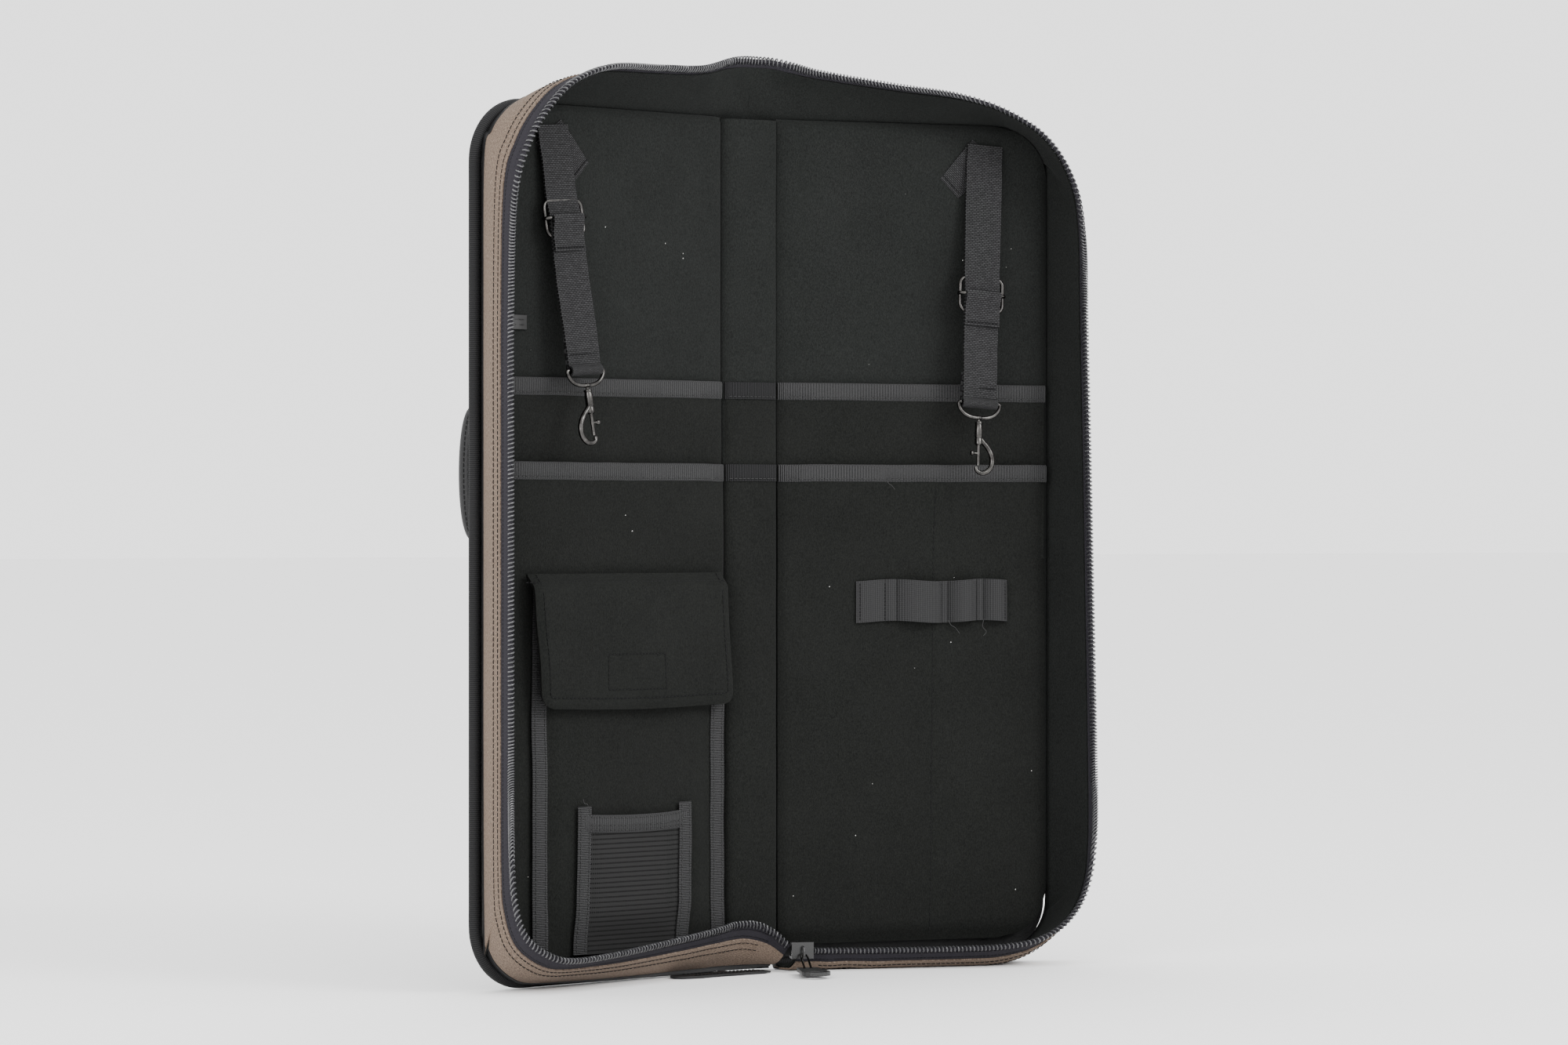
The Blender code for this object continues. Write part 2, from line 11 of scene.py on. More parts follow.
import bpy
from mathutils import Matrix, Vector, noise


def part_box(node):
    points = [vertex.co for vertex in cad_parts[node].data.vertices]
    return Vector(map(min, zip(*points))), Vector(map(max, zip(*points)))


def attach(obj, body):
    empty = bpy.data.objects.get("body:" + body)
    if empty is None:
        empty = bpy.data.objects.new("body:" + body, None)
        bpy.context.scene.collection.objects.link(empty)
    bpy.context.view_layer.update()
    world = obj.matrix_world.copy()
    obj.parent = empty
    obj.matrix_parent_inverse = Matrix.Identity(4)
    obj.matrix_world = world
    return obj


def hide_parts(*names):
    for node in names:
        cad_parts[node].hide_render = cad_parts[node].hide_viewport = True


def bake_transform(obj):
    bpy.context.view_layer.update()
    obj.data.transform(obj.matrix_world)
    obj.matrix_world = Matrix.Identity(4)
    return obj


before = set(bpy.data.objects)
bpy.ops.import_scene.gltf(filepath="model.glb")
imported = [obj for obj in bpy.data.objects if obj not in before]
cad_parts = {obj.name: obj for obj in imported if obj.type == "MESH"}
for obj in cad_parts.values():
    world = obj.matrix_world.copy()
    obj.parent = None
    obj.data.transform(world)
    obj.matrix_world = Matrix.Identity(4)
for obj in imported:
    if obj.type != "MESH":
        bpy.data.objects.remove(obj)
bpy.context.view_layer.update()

# --------------------------------------------------------------- outer shells
# The backs of the two halves and of the spine: leathercloth over board, slightly crowned, with
# a stitched line inside the edge. Each panel ends in a ribbed piping that is sewn into its seam.

MM = 0.001
SIDES = {"left": -1, "right": 1}
SEAM_GAP = 0.3
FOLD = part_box("spine_pad")[1].x / MM + SEAM_GAP
LEAN = math.radians(11.0)


def on_half(side, u, h, z):
    """A point of a half: u out from its fold, h above its lining, z above the ground."""
    x = FOLD + u * math.cos(LEAN) - h * math.sin(LEAN)
    return Vector((side * x, -(u * math.sin(LEAN) + h * math.cos(LEAN)), z)) * MM


def facing(side):
    """The direction in which the lining of a half looks."""
    return Vector((-side * math.sin(LEAN), -math.cos(LEAN), 0))


def ease(t):
    """Goes gently from 0 to 1 as t does."""
    t = min(max(t, 0.0), 1.0)
    return t * t * (3 - 2 * t)


def ripple(u, z, scale, seed=0.0):
    """A soft random height from about -1 to 1, with waves about scale millimetres long."""
    return 1.6 * noise.noise(Vector((u / scale, z / scale, seed)))


def pick(piece):
    """Makes a piece the only selected one, and the active one."""
    bpy.ops.object.select_all(action="DESELECT")
    bpy.context.view_layer.objects.active = piece
    piece.select_set(True)


def grid_piece(name, columns, rows, place, lay):
    """A grid put in place by place(s, t); its UV map "lay" is in millimetres."""
    bpy.ops.object.select_all(action="DESELECT")
    bpy.ops.mesh.primitive_grid_add(x_subdivisions=columns, y_subdivisions=rows, size=1)
    piece = bpy.context.object
    piece.name = piece.data.name = name
    for vertex in piece.data.vertices:
        vertex.co = place(vertex.co.x + 0.5, vertex.co.y + 0.5)
    layer = piece.data.uv_layers[0]
    layer.name = "lay"
    for corner in layer.data:
        corner.uv = (corner.uv[0] * lay[0], corner.uv[1] * lay[1])
    return piece


def apply(piece, kind, **settings):
    """Adds one modifier to a piece and applies it."""
    pick(piece)
    modifier = piece.modifiers.new(kind.lower(), kind)
    for key, value in settings.items():
        setattr(modifier, key, value)
    bpy.ops.object.modifier_apply(modifier=modifier.name)


def outward(piece, weld=0.00002):
    """Merges what meets and turns the faces of a closed piece outwards."""
    pick(piece)
    bpy.ops.object.mode_set(mode="EDIT")
    bpy.ops.mesh.select_all(action="SELECT")
    bpy.ops.mesh.remove_doubles(threshold=weld)
    bpy.ops.mesh.normals_make_consistent(inside=False)
    bpy.ops.object.mode_set(mode="OBJECT")


def finish_piece(piece, material, body=None, nodes=(), angle=None):
    """Smooths a piece, gives it its material, and says what it rides on and stands for."""
    pick(piece)
    if angle:
        bpy.ops.object.shade_smooth_by_angle(angle=math.radians(angle))
    else:
        bpy.ops.object.shade_smooth()
    piece.data.materials.clear()
    piece.data.materials.append(material)
    if body:
        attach(piece, body)
    if nodes:
        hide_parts(*nodes)
    return piece


CREASE_ANGLE = 50


def cloth(name, columns, rows, place, lay, thickness, material, body=None, nodes=(), slot=None):
    """A sheet of cloth with its thickness, put in place by place(s, t)."""
    piece = grid_piece(name, columns, rows, place, lay)
    apply(piece, "SOLIDIFY", thickness=thickness * MM, offset=0.0)
    return finish_piece(piece, material, body, nodes, CREASE_ANGLE)


def rope(name, path, radius, sides, material, body=None, nodes=(), closed=False,
         squash=1.0, face=None):
    """A round or flattened bar along a path of points; face is the side that squash thins."""
    count = len(path)
    steps = [(path[(i + 1) % count] - path[i - 1]) if closed or 0 < i < count - 1
             else (path[1] - path[0] if i == 0 else path[-1] - path[-2]) for i in range(count)]
    side = face if face is not None else steps[0].orthogonal()
    frames = []
    for step in steps:
        along = step.normalized()
        if face is not None:
            side = face
        side = (side - along * side.dot(along)).normalized()
        frames.append((side, along.cross(side)))
    lengths = [0.0]
    for a, b in zip(path, path[1:] + path[:1]):
        lengths.append(lengths[-1] + (b - a).length / MM)
    rows = count if closed else count - 1

    def place(s, t):
        i = round(t * rows) % count
        a, b = frames[i]
        turn = 2 * math.pi * s
        size = radius(i / rows) if callable(radius) else radius
        return path[i] + (a * math.cos(turn) * squash + b * math.sin(turn)) * size * MM

    girth = 2 * math.pi * (radius(0.5) if callable(radius) else radius)
    piece = grid_piece(name, sides, rows, place, (girth, lengths[rows]))
    if not closed:
        bpy.ops.object.mode_set(mode="EDIT")
        bpy.ops.mesh.select_all(action="SELECT")
        bpy.ops.mesh.remove_doubles(threshold=0.00001)
        bpy.ops.mesh.select_all(action="DESELECT")
        bpy.ops.mesh.select_non_manifold()
        bpy.ops.mesh.edge_face_add()
        bpy.ops.object.mode_set(mode="OBJECT")
    outward(piece, 0.00001)
    return finish_piece(piece, material, body, nodes, CREASE_ANGLE)


def spline(points, count, closed=False, lead=None):
    """Evenly spaced points along a smooth curve; lead is where it would have come from."""
    points = [Vector(p) for p in points]
    ring, fine = len(points), 24
    dense = []
    for i in range(ring if closed else ring - 1):
        a, b, c, d = (points[(i + k) % ring] if closed else points[min(max(i + k, 0), ring - 1)]
                      for k in (-1, 0, 1, 2))
        a = lead if lead is not None and i == 0 else a
        for k in range(fine):
            t = k / fine
            dense.append(0.5 * (2 * b + (c - a) * t + (2 * a - 5 * b + 4 * c - d) * t * t
                                + (3 * b - a - 3 * c + d) * t * t * t))
    dense.append(points[0] if closed else points[-1])
    reach = [0.0]
    for a, b in zip(dense, dense[1:]):
        reach.append(reach[-1] + (b - a).length)
    found, k = [], 0
    for i in range(count if closed else count + 1):
        want = reach[-1] * i / count
        while k < len(reach) - 2 and reach[k + 1] < want:
            k += 1
        share = (want - reach[k]) / max(reach[k + 1] - reach[k], 1e-9)
        found.append(dense[k].lerp(dense[k + 1], min(share, 1.0)))
    return found


def loose_piece(name, verts, faces):
    """A piece made from its points and faces."""
    mesh = bpy.data.meshes.new(name)
    mesh.from_pydata(verts, [], faces)
    piece = bpy.data.objects.new(name, mesh)
    bpy.context.scene.collection.objects.link(piece)
    outward(piece, 1e-7)
    return piece


def stitches(name, path, pitch, material, body=None, width=0.55, lift=Vector((0, -1, 0))):
    """Sewn stitches along a path: short threads that dip into the cloth at their ends."""
    length = 0.72
    total = sum((b - a).length for a, b in zip(path, path[1:]))
    count = max(int(total / (pitch * MM)), 1)
    line = spline(path, count * 2)
    verts, faces = [], []
    ring = ((-0.5, 0.0), (-0.28, 0.8), (0.28, 0.8), (0.5, 0.0))
    for k in range(count):
        a, b = line[2 * k], line[min(2 * k + 2, len(line) - 1)]
        along = b - a
        up = (lift(line[2 * k + 1]) if callable(lift) else lift).normalized()
        aside = along.cross(up).normalized() * width * MM
        start = len(verts)
        for share, low in ring:
            centre = a + along * (0.5 + share * length) + up * (low * 0.45 - 0.1) * width * MM
            for p, q in ((-0.5, 0), (0, 0.45), (0.5, 0), (0, -0.45)):
                verts.append(centre + aside * p + up * q * width * MM)
        for r in range(3):
            for j in range(4):
                faces.append((start + 4 * r + j, start + 4 * r + (j + 1) % 4,
                              start + 4 * r + 4 + (j + 1) % 4, start + 4 * r + 4 + j))
        faces += [(start + 3, start + 2, start + 1, start), tuple(start + 12 + j for j in range(4))]
    return finish_piece(loose_piece(name, verts, faces), material, body)


def start_material(name, colour, roughness, metallic=0.0, sheen=0.0, specular=0.5):
    material = bpy.data.materials.new(name)
    material.use_nodes = True
    shader = material.node_tree.nodes["Principled BSDF"]
    shader.inputs["Base Color"].default_value = (*colour, 1)
    shader.inputs["Roughness"].default_value = roughness
    shader.inputs["Metallic"].default_value = metallic
    shader.inputs["Sheen Weight"].default_value = sheen
    shader.inputs["Specular IOR Level"].default_value = specular
    return material


def node(material, kind, links=(), **settings):
    """A shader node; links are (input name, source socket) pairs."""
    made = material.node_tree.nodes.new(kind)
    for key, value in settings.items():
        if hasattr(made, key):
            setattr(made, key, value)
        else:
            made.inputs[key.replace("_", " ")].default_value = value
    for name, source in links:
        material.node_tree.links.new(source, made.inputs[name])
    return made


def object_place(material, scale=(1, 1, 1)):
    """Places in space, in metres, for a pattern that runs through the whole piece."""
    spot = node(material, "ShaderNodeTexCoord")
    return node(material, "ShaderNodeMapping", [("Vector", spot.outputs["Object"])],
                Scale=scale).outputs[0]


def lay_place(material, scale=(1, 1, 1)):
    """Places on the cloth as it lies flat, in millimetres."""
    spot = node(material, "ShaderNodeUVMap", uv_map="lay")
    return node(material, "ShaderNodeMapping", [("Vector", spot.outputs[0])],
                Scale=scale).outputs[0]


def tint(material, factor, low, high, start=0.3, end=0.7):
    """Drives the colour between two tones by a pattern."""
    ramp = node(material, "ShaderNodeValToRGB", [("Fac", factor)])
    ramp.color_ramp.elements[0].position = start
    ramp.color_ramp.elements[1].position = end
    ramp.color_ramp.elements[0].color = (*low, 1)
    ramp.color_ramp.elements[1].color = (*high, 1)
    shader = material.node_tree.nodes["Principled BSDF"]
    material.node_tree.links.new(ramp.outputs[0], shader.inputs["Base Color"])
    return ramp


def relief(material, height, strength, depth, under=None):
    """Adds a bump from a pattern, over an earlier bump if there is one."""
    bump = node(material, "ShaderNodeBump", [("Height", height)], Strength=strength,
                Distance=depth * MM)
    if under is not None:
        material.node_tree.links.new(under.outputs[0], bump.inputs["Normal"])
    shader = material.node_tree.nodes["Principled BSDF"]
    material.node_tree.links.new(bump.outputs[0], shader.inputs["Normal"])
    return bump


def maths(material, operation, a, b):
    """One sum on two patterns, or on a pattern and a number."""
    made = node(material, "ShaderNodeMath", operation=operation)
    for socket, value in zip(made.inputs, (a, b)):
        if isinstance(value, (int, float)):
            socket.default_value = value
        else:
            material.node_tree.links.new(value, socket)
    return made.outputs[0]


def mix(material, first, second, share):
    """Adds two patterns, the first with this share and the second with the rest."""
    return maths(material, "ADD", maths(material, "MULTIPLY", first, share),
                 maths(material, "MULTIPLY", second, 1 - share))


def leathercloth_material():
    made = start_material("leathercloth", (0.008, 0.008, 0.009), 0.5, specular=0.3)
    grain = node(made, "ShaderNodeTexVoronoi", [("Vector", object_place(made))], Scale=1100.0,
                 feature="SMOOTH_F1")
    cloud = node(made, "ShaderNodeTexNoise", [("Vector", object_place(made))], Scale=45.0,
                 Detail=4.0)
    tint(made, cloud.outputs[0], (0.0055, 0.0055, 0.006), (0.0105, 0.0105, 0.011))
    first = relief(made, grain.outputs[0], 0.45, 0.25)
    relief(made, cloud.outputs[0], 0.25, 0.9, first)
    return made


def piping_material():
    made = start_material("piping", (0.008, 0.008, 0.009), 0.65, specular=0.15)
    ribs = node(made, "ShaderNodeTexWave", [("Vector", lay_place(made))], Scale=0.28,
                Distortion=0.6, Detail=2.0, bands_direction="Y")
    tint(made, ribs.outputs[1], (0.0045, 0.0045, 0.005), (0.015, 0.015, 0.0155), 0.1, 0.9)
    relief(made, ribs.outputs[1], 0.6, 0.3)
    return made


def thread_material(name, colour):
    made = start_material(name, colour, 0.7, specular=0.15)
    twist = node(made, "ShaderNodeTexNoise", [("Vector", object_place(made))], Scale=2500.0)
    relief(made, twist.outputs[0], 0.4, 0.1)
    return made


leathercloth = leathercloth_material()
piping_cloth = piping_material()
black_thread = thread_material("black_thread", (0.005, 0.005, 0.0055))

PANEL_TOP, PANEL_WIDTH, CORNER, PIPING = 499.5, 175.5, 35.5, 3.4
FROM_FOLD = 0.9        # from the fold's line to where a panel starts
SHELL_EDGE = 4.0       # how far the shell stays inside the panel's outline
SEWN_IN = 9.0          # from the panel's outline to its stitched line


def rounded(s, t, width, low, high, radius):
    """A grid point of a panel that is square at the fold and round at its outer corners."""
    z = low + (high - low) * t
    inset = max(low + radius - z, z - (high - radius), 0.0)
    edge = width - radius + math.sqrt(max(radius * radius - inset * inset, 0.0))
    return s * edge, z


def even_rows(t):
    """Puts more rows of a grid near its two ends, where the corners are round."""
    return t - 0.336 * math.sin(2 * math.pi * t) / (2 * math.pi)


def seam_line(width, low, high, radius, step=12.0):
    """Points in (u, z) along the outer edge of a half, from the top of the fold to its foot."""
    level, upright = int((width - radius) / step), int((high - low - 2 * radius) / step)
    points = [((width - radius) * i / level, high) for i in range(level)]
    for i in range(9):
        turn = math.radians(90 - 90 * i / 8)
        points.append((width - radius + radius * math.cos(turn),
                       high - radius + radius * math.sin(turn)))
    for i in range(1, upright):
        points.append((width, high - radius - (high - low - 2 * radius) * i / upright))
    for i in range(9):
        turn = math.radians(-90 * i / 8)
        points.append((width - radius + radius * math.cos(turn),
                       low + radius + radius * math.sin(turn)))
    return points + [((width - radius) * (level - i) / level, low) for i in range(1, level + 1)]


for name, side in SIDES.items():

    def shell(s, t, side=side):
        width, top = PANEL_WIDTH - SHELL_EDGE, PANEL_TOP - SHELL_EDGE
        u, z = rounded(s, even_rows(t), width, SHELL_EDGE, top, CORNER - SHELL_EDGE)
        edge = min(u + 9, width - u, z - SHELL_EDGE, top - z) / 22.0
        h = -8.4 - 1.6 * ease(edge) - 0.25 * ripple(u, z, 60, 3 + side)
        return on_half(side, FROM_FOLD + u, h, z)

    cloth(name + "_shell", 40, 110, shell, (175, 500), 1.4, leathercloth, name + "_half",
          [name + "_outer_panel"], "black_leathercloth")
    seam = seam_line(PANEL_WIDTH + 0.4, PIPING + 0.1, PANEL_TOP - PIPING, CORNER - 2.5)
    roll = [on_half(side, FROM_FOLD + u, -7.4, z) for u, z in seam]
    rope(name + "_piping_roll", spline(roll, 260), PIPING, 14, piping_cloth, name + "_half",
         [name + "_piping"])
    sewn = seam_line(PANEL_WIDTH - SEWN_IN, SEWN_IN, PANEL_TOP - SEWN_IN, CORNER - SEWN_IN)
    sewn = [on_half(side, FROM_FOLD + u, -10.45, z) for u, z in sewn]
    stitches(name + "_shell_stitches", sewn, 3.4, black_thread, name + "_half",
             lift=-facing(side))


def spine_back(s, t):
    """The strip between the folds, crowned outwards."""
    x = (2 * s - 1) * (FOLD - SEAM_GAP)
    y = 8.6 + 1.3 * (1 - (2 * s - 1) ** 2) ** 0.5 + 0.2 * ripple(x, t * 500, 40)
    return Vector((x, y, 0.5 + (PANEL_TOP - 1) * t)) * MM


cloth("spine_shell", 16, 90, spine_back, (37, 500), 1.4, leathercloth, "spine",
      ["spine_outer_strip"], "black_leathercloth")

# --------------------------------------------------------------- padded lining
# Brushed charcoal cloth over foam, glued flat in each half and over the spine. It tucks down
# into a crease along both folds and rolls over where it meets the walls.


def brushed_material(name, low, high):
    """Brushed cloth: a short nap, worn a little lighter in clouds."""
    made = start_material(name, low, 0.95, sheen=0.02, specular=0.05)
    nap = node(made, "ShaderNodeTexNoise", [("Vector", object_place(made, (1, 1, 0.55)))],
               Scale=1500.0, Detail=5.0, Roughness=0.75)
    cloud = node(made, "ShaderNodeTexNoise", [("Vector", object_place(made))], Scale=28.0,
                 Detail=5.0)
    mixed = mix(made, nap.outputs[0], cloud.outputs[0], 0.88)
    tint(made, mixed, low, high, 0.36, 0.64)
    first = relief(made, nap.outputs[0], 0.55, 0.3)
    relief(made, cloud.outputs[0], 0.3, 1.4, first)
    return made


lining = brushed_material("brushed_lining", (0.0060, 0.0066, 0.0062), (0.0150, 0.0162, 0.0153))
pocket_cloth = brushed_material("pocket_cloth", (0.0045, 0.0049, 0.0045), (0.0122, 0.0129, 0.0119))

LINING_WIDTH, LINING_LOW, LINING_HIGH, ROLL_OVER = 170.5, 16.0, 496.0, 9.0

for name, side in SIDES.items():

    def pad(s, t, side=side):
        u, z = rounded(s, even_rows(t), LINING_WIDTH, LINING_LOW, LINING_HIGH, 33.0)
        edge = min(u, LINING_WIDTH - u, z - LINING_LOW, LINING_HIGH - z) / ROLL_OVER
        h = -3.2 + 3.2 * math.sqrt(max(1 - (1 - min(edge, 1.0)) ** 2, 0.0))
        h += 0.35 * ripple(u, z, 45, 7 + side) * ease(edge)
        return on_half(side, 0.2 + u, h, z)

    piece = cloth(name + "_lining", 60, 130, pad, (171, 480), 3.2, lining, name + "_half",
                  [name + "_lining_pad"], "brushed_lining")


def spine_roll(s, t):
    """The lining over the spine, tucked into the crease at each side."""
    x = (2 * s - 1) * (FOLD - 0.2)
    z = LINING_LOW + (LINING_HIGH - LINING_LOW) * t
    round_off = math.sqrt(max(1 - abs(2 * s - 1) ** 5, 0.0))
    y = 3.4 - 4.6 * round_off - 0.3 * ripple(x, z, 30, 5) * round_off
    return Vector((x, y, z)) * MM


piece = cloth("spine_lining", 28, 130, spine_roll, (37, 480), 2.6, lining, "spine",
              ["spine_pad"], "brushed_lining")

# --------------------------------------------------------------- walls
# The wall of a half is melange canvas outside and lining inside, sewn to the zip tape near its
# rim. It runs on over the spine, where it is soft and bends as the half is closed. Rows name the
# rim and then the base of the wall, as (x or u, h, z), from the spine's top to its foot.


SEAM_LOW, SEAM_HIGH, SEAM_H = 2.5, 497.0, -5.4      # where the walls are sewn to the backs


def in_spine(x, h, z):
    """A point over the spine, which looks straight ahead."""
    return Vector((x, -h, z)) * MM


def wall_rows(name):
    """Matching points of rim and base from the top of the spine round to its foot."""
    side = SIDES[name]
    top = {"left": ((30, 522.7), (64, 520.5), (105, 518.0), (136, 508.0), (157, 491.0),
                    (172, 469.0), (181.5, 440.0)),
           "right": ((22, 524.0), (66, 517.2), (104, 512.0), (132, 503.2), (157, 487.5),
                     (174, 462.0), (180.5, 430.0))}[name]
    foot = {"left": ((184, 84.0), (181.5, 54.0), (173.8, 34.0), (158, 22.8), (139, 18.2),
                     (104, 19.2), (54, 23.6), (16, 27.6)),
            "right": ((188, 80.0), (183.5, 48.0), (172, 28.5), (155, 17.5), (134, 13.0),
                      (104, 12.0), (58, 12.0), (22, 12.6))}[name]
    mid = {"left": ((184.0, 380.0), (184.0, 300.0), (184.0, 210.0), (184.0, 140.0)),
           "right": ((182.0, 380.0), (184.0, 300.0), (186.0, 210.0), (187.5, 140.0))}[name]
    rows = [(in_spine(0, 8.6, 531.2), in_spine(0, SEAM_H, SEAM_HIGH)),
            (in_spine(side * 10, 10.6, 530.8), in_spine(side * 10, SEAM_H, SEAM_HIGH)),
            (in_spine(side * 21, 15.0, 529.0 if side < 0 else 528.2),
             in_spine(side * 19.4, SEAM_H, SEAM_HIGH))]

    def base_of(rim_u, rim_z):
        """The seam point that belongs to a rim point."""
        edge, radius = 173.0, 33.0
        if 100 <= rim_z <= 420:
            return edge, rim_z
        upper = rim_z > 420
        straight, curved = (104, 78) if upper else (138, 47)
        turn = math.asin(min(max((rim_u - straight) / curved, 0.0), 1.0))
        u = (edge - radius) * min(rim_u / straight, 1) + radius * math.sin(turn)
        rise = radius * (1 - math.cos(turn))
        return u, SEAM_HIGH - rise if upper else SEAM_LOW + rise

    for u, z in (*top, *mid, *foot):
        base_u, base_z = base_of(u, z)
        rim_h = 14 + 21 * min(u / 150.0, 1.0)
        rows.append((on_half(side, u, rim_h, z), on_half(side, base_u, SEAM_H, base_z)))
    if name == "left":
        rows += [(in_spine(-19.0, 15.5, 29.9), in_spine(-19.0, SEAM_H, SEAM_LOW)),
                 (in_spine(-4.0, 14.0, 29.6), in_spine(-5.0, SEAM_H, SEAM_LOW)),
                 (in_spine(8.0, 14.2, 24.5), in_spine(6.0, -5.0, 3.0)),
                 (in_spine(18.0, 16.0, 15.4), in_spine(15.0, -3.5, 4.0))]
    else:
        rows += [(in_spine(27.0, 17.3, 12.8), in_spine(20.0, SEAM_H, SEAM_LOW))]
    return rows


def along(rows, count):
    """Rim and base resampled at count + 1 places that match."""
    both = [Vector((*rim, *base)) for rim, base in rows]
    lead = both[1].copy()
    lead[0], lead[3] = -lead[0], -lead[3]
    return [(Vector(p[:3]), Vector(p[3:])) for p in spline(both, count, lead=lead)]


WALL_STEPS = 300
walls = {name: along(wall_rows(name), WALL_STEPS) for name in SIDES}


def wall_at(name, i, s, puff=0.0):
    """The wall at station i and share s from its base to its rim; puff swells it outwards."""
    rim, base = walls[name][i]
    ahead = walls[name][min(i + 1, WALL_STEPS)][0] - walls[name][max(i - 1, 0)][0]
    side = SIDES[name]
    out = ahead.cross(rim - base).normalized() * -side
    place = base.lerp(rim, s)
    foot = ease((i / WALL_STEPS - 0.80) / 0.06)
    sag = {"left": 3.0, "right": 6.5}[name] * foot * math.sin(math.pi * min(s * 1.1, 1)) * MM
    crumple = (0.8 * ease((abs(i / WALL_STEPS - 0.5) - 0.38) / 0.1)
               * ripple(i * 3.2, s * 40, 16, side) * math.sin(math.pi * min(s, 1)))
    bulge = (puff + 1.6) * math.sin(math.pi * min(s * 1.05, 1)) * (1 - foot) + puff * foot
    place = place + out * (bulge + crumple) * MM - Vector((0, 0, sag))
    place.z = max(place.z, 0.9 * MM)
    return place


def bend_with(piece):
    """Bakes the placement of a piece that crosses a fold into its points."""
    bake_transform(piece)
    return piece


WALL_LENGTH, WALL_DEPTH = 1160, 44


def wall_cloth(piece_name, name, low, high, rows, shift, thickness, material, nodes, slot):
    """A band of the wall from share low to high, moved out by shift millimetres."""

    def place(s, t):
        return wall_at(name, round(s * WALL_STEPS), low + (high - low) * t, shift)

    piece = cloth(piece_name, WALL_STEPS, rows, place, (WALL_LENGTH, WALL_DEPTH * (high - low)),
                  thickness, material, None, nodes, slot)
    return bend_with(piece)


def melange_material():
    """Canvas of mixed beige and brown yarns."""
    made = start_material("beige_melange", (0.14, 0.10, 0.08), 0.92, sheen=0.03, specular=0.08)
    fibres = node(made, "ShaderNodeTexNoise", [("Vector", lay_place(made, (0.5, 1.5, 1)))],
                  Scale=1.0, Detail=6.0, Roughness=0.8)
    flecks = node(made, "ShaderNodeTexNoise", [("Vector", lay_place(made, (1.7, 0.8, 1)))],
                  Scale=1.6, Detail=4.0, Roughness=0.8)
    mixed = mix(made, fibres.outputs[0], flecks.outputs[0], 0.55)
    ramp = tint(made, mixed, (0.045, 0.032, 0.024), (0.27, 0.21, 0.165), 0.40, 0.61)
    middle = ramp.color_ramp.elements.new(0.51)
    middle.color = (0.135, 0.100, 0.077, 1)
    relief(made, mixed, 0.5, 0.35)
    return made


def tape_material():
    """The zip's tape: a tight black weave."""
    made = start_material("zip_tape", (0.025, 0.024, 0.028), 0.88, specular=0.08)
    weave = node(made, "ShaderNodeTexBrick", [("Vector", lay_place(made))], Scale=1.0,
                 Color1=(1, 1, 1, 1), Color2=(0.7, 0.7, 0.7, 1), Mortar=(0.15, 0.15, 0.15, 1),
                 Brick_Width=1.3, Row_Height=0.55, Mortar_Size=0.12)
    tint(made, weave.outputs[0], (0.014, 0.013, 0.016), (0.034, 0.032, 0.038), 0.0, 1.0)
    relief(made, weave.outputs[0], 0.6, 0.25)
    return made


melange = melange_material()
tape_cloth = tape_material()
spine_nodes = {"left": ["spine_top_gusset", "spine_bottom_gusset"], "right": []}
zip_nodes = {"left": ["spine_zip_top", "spine_zip_bottom"], "right": []}

for name in SIDES:
    wall_cloth(name + "_canvas", name, 0.0, 0.715, 9, 0.9, 0.9, melange,
               [name + "_gusset", *spine_nodes[name]], "beige_melange")
    wall_cloth(name + "_welt", name, 0.0, 0.13, 4, 1.9, 1.0, leathercloth, (), "black_leathercloth")
    wall_cloth(name + "_wall_lining", name, 0.0, 0.84, 9, -1.5, 1.6, lining, (), "brushed_lining")
    wall_cloth(name + "_tape_web", name, 0.66, 0.935, 6, 0.0, 0.7, tape_cloth, [name + "_zip_tape"],
               "zip_tape")

    def off_wall(point, name=name):
        """Roughly outwards from the middle of the half."""
        middle = on_half(SIDES[name], 70, 0, 250)
        away = point - middle
        return Vector((away.x, min(away.y, 0) * 0.2, away.z * 0.6))

    for share, pitch in ((0.66, 3.0), (0.545, 3.1)):
        line = [wall_at(name, i, share, 1.55) for i in range(3, WALL_STEPS - 3, 3)]
        row = stitches("%s_canvas_stitches_%d" % (name, share * 100), line, pitch, black_thread,
                       lift=off_wall, width=0.6)
        bend_with(row)

# --------------------------------------------------------------- zip coils
# A nylon coil is woven on to the edge of each tape: one thread wound into flat loops, 2.27 mm
# from loop to loop, whose heads catch the light. Two rows of fine stitches hold it.


def coil_material():
    """Clear dark nylon, glossy on the heads of its loops."""
    made = start_material("coil_nylon", (0.10, 0.10, 0.105), 0.28, specular=0.7)
    wear = node(made, "ShaderNodeTexNoise", [("Vector", object_place(made))], Scale=400.0)
    tint(made, wear.outputs[0], (0.022, 0.022, 0.024), (0.055, 0.055, 0.058))
    return made


coil_nylon = coil_material()
COIL_PITCH = 2.27

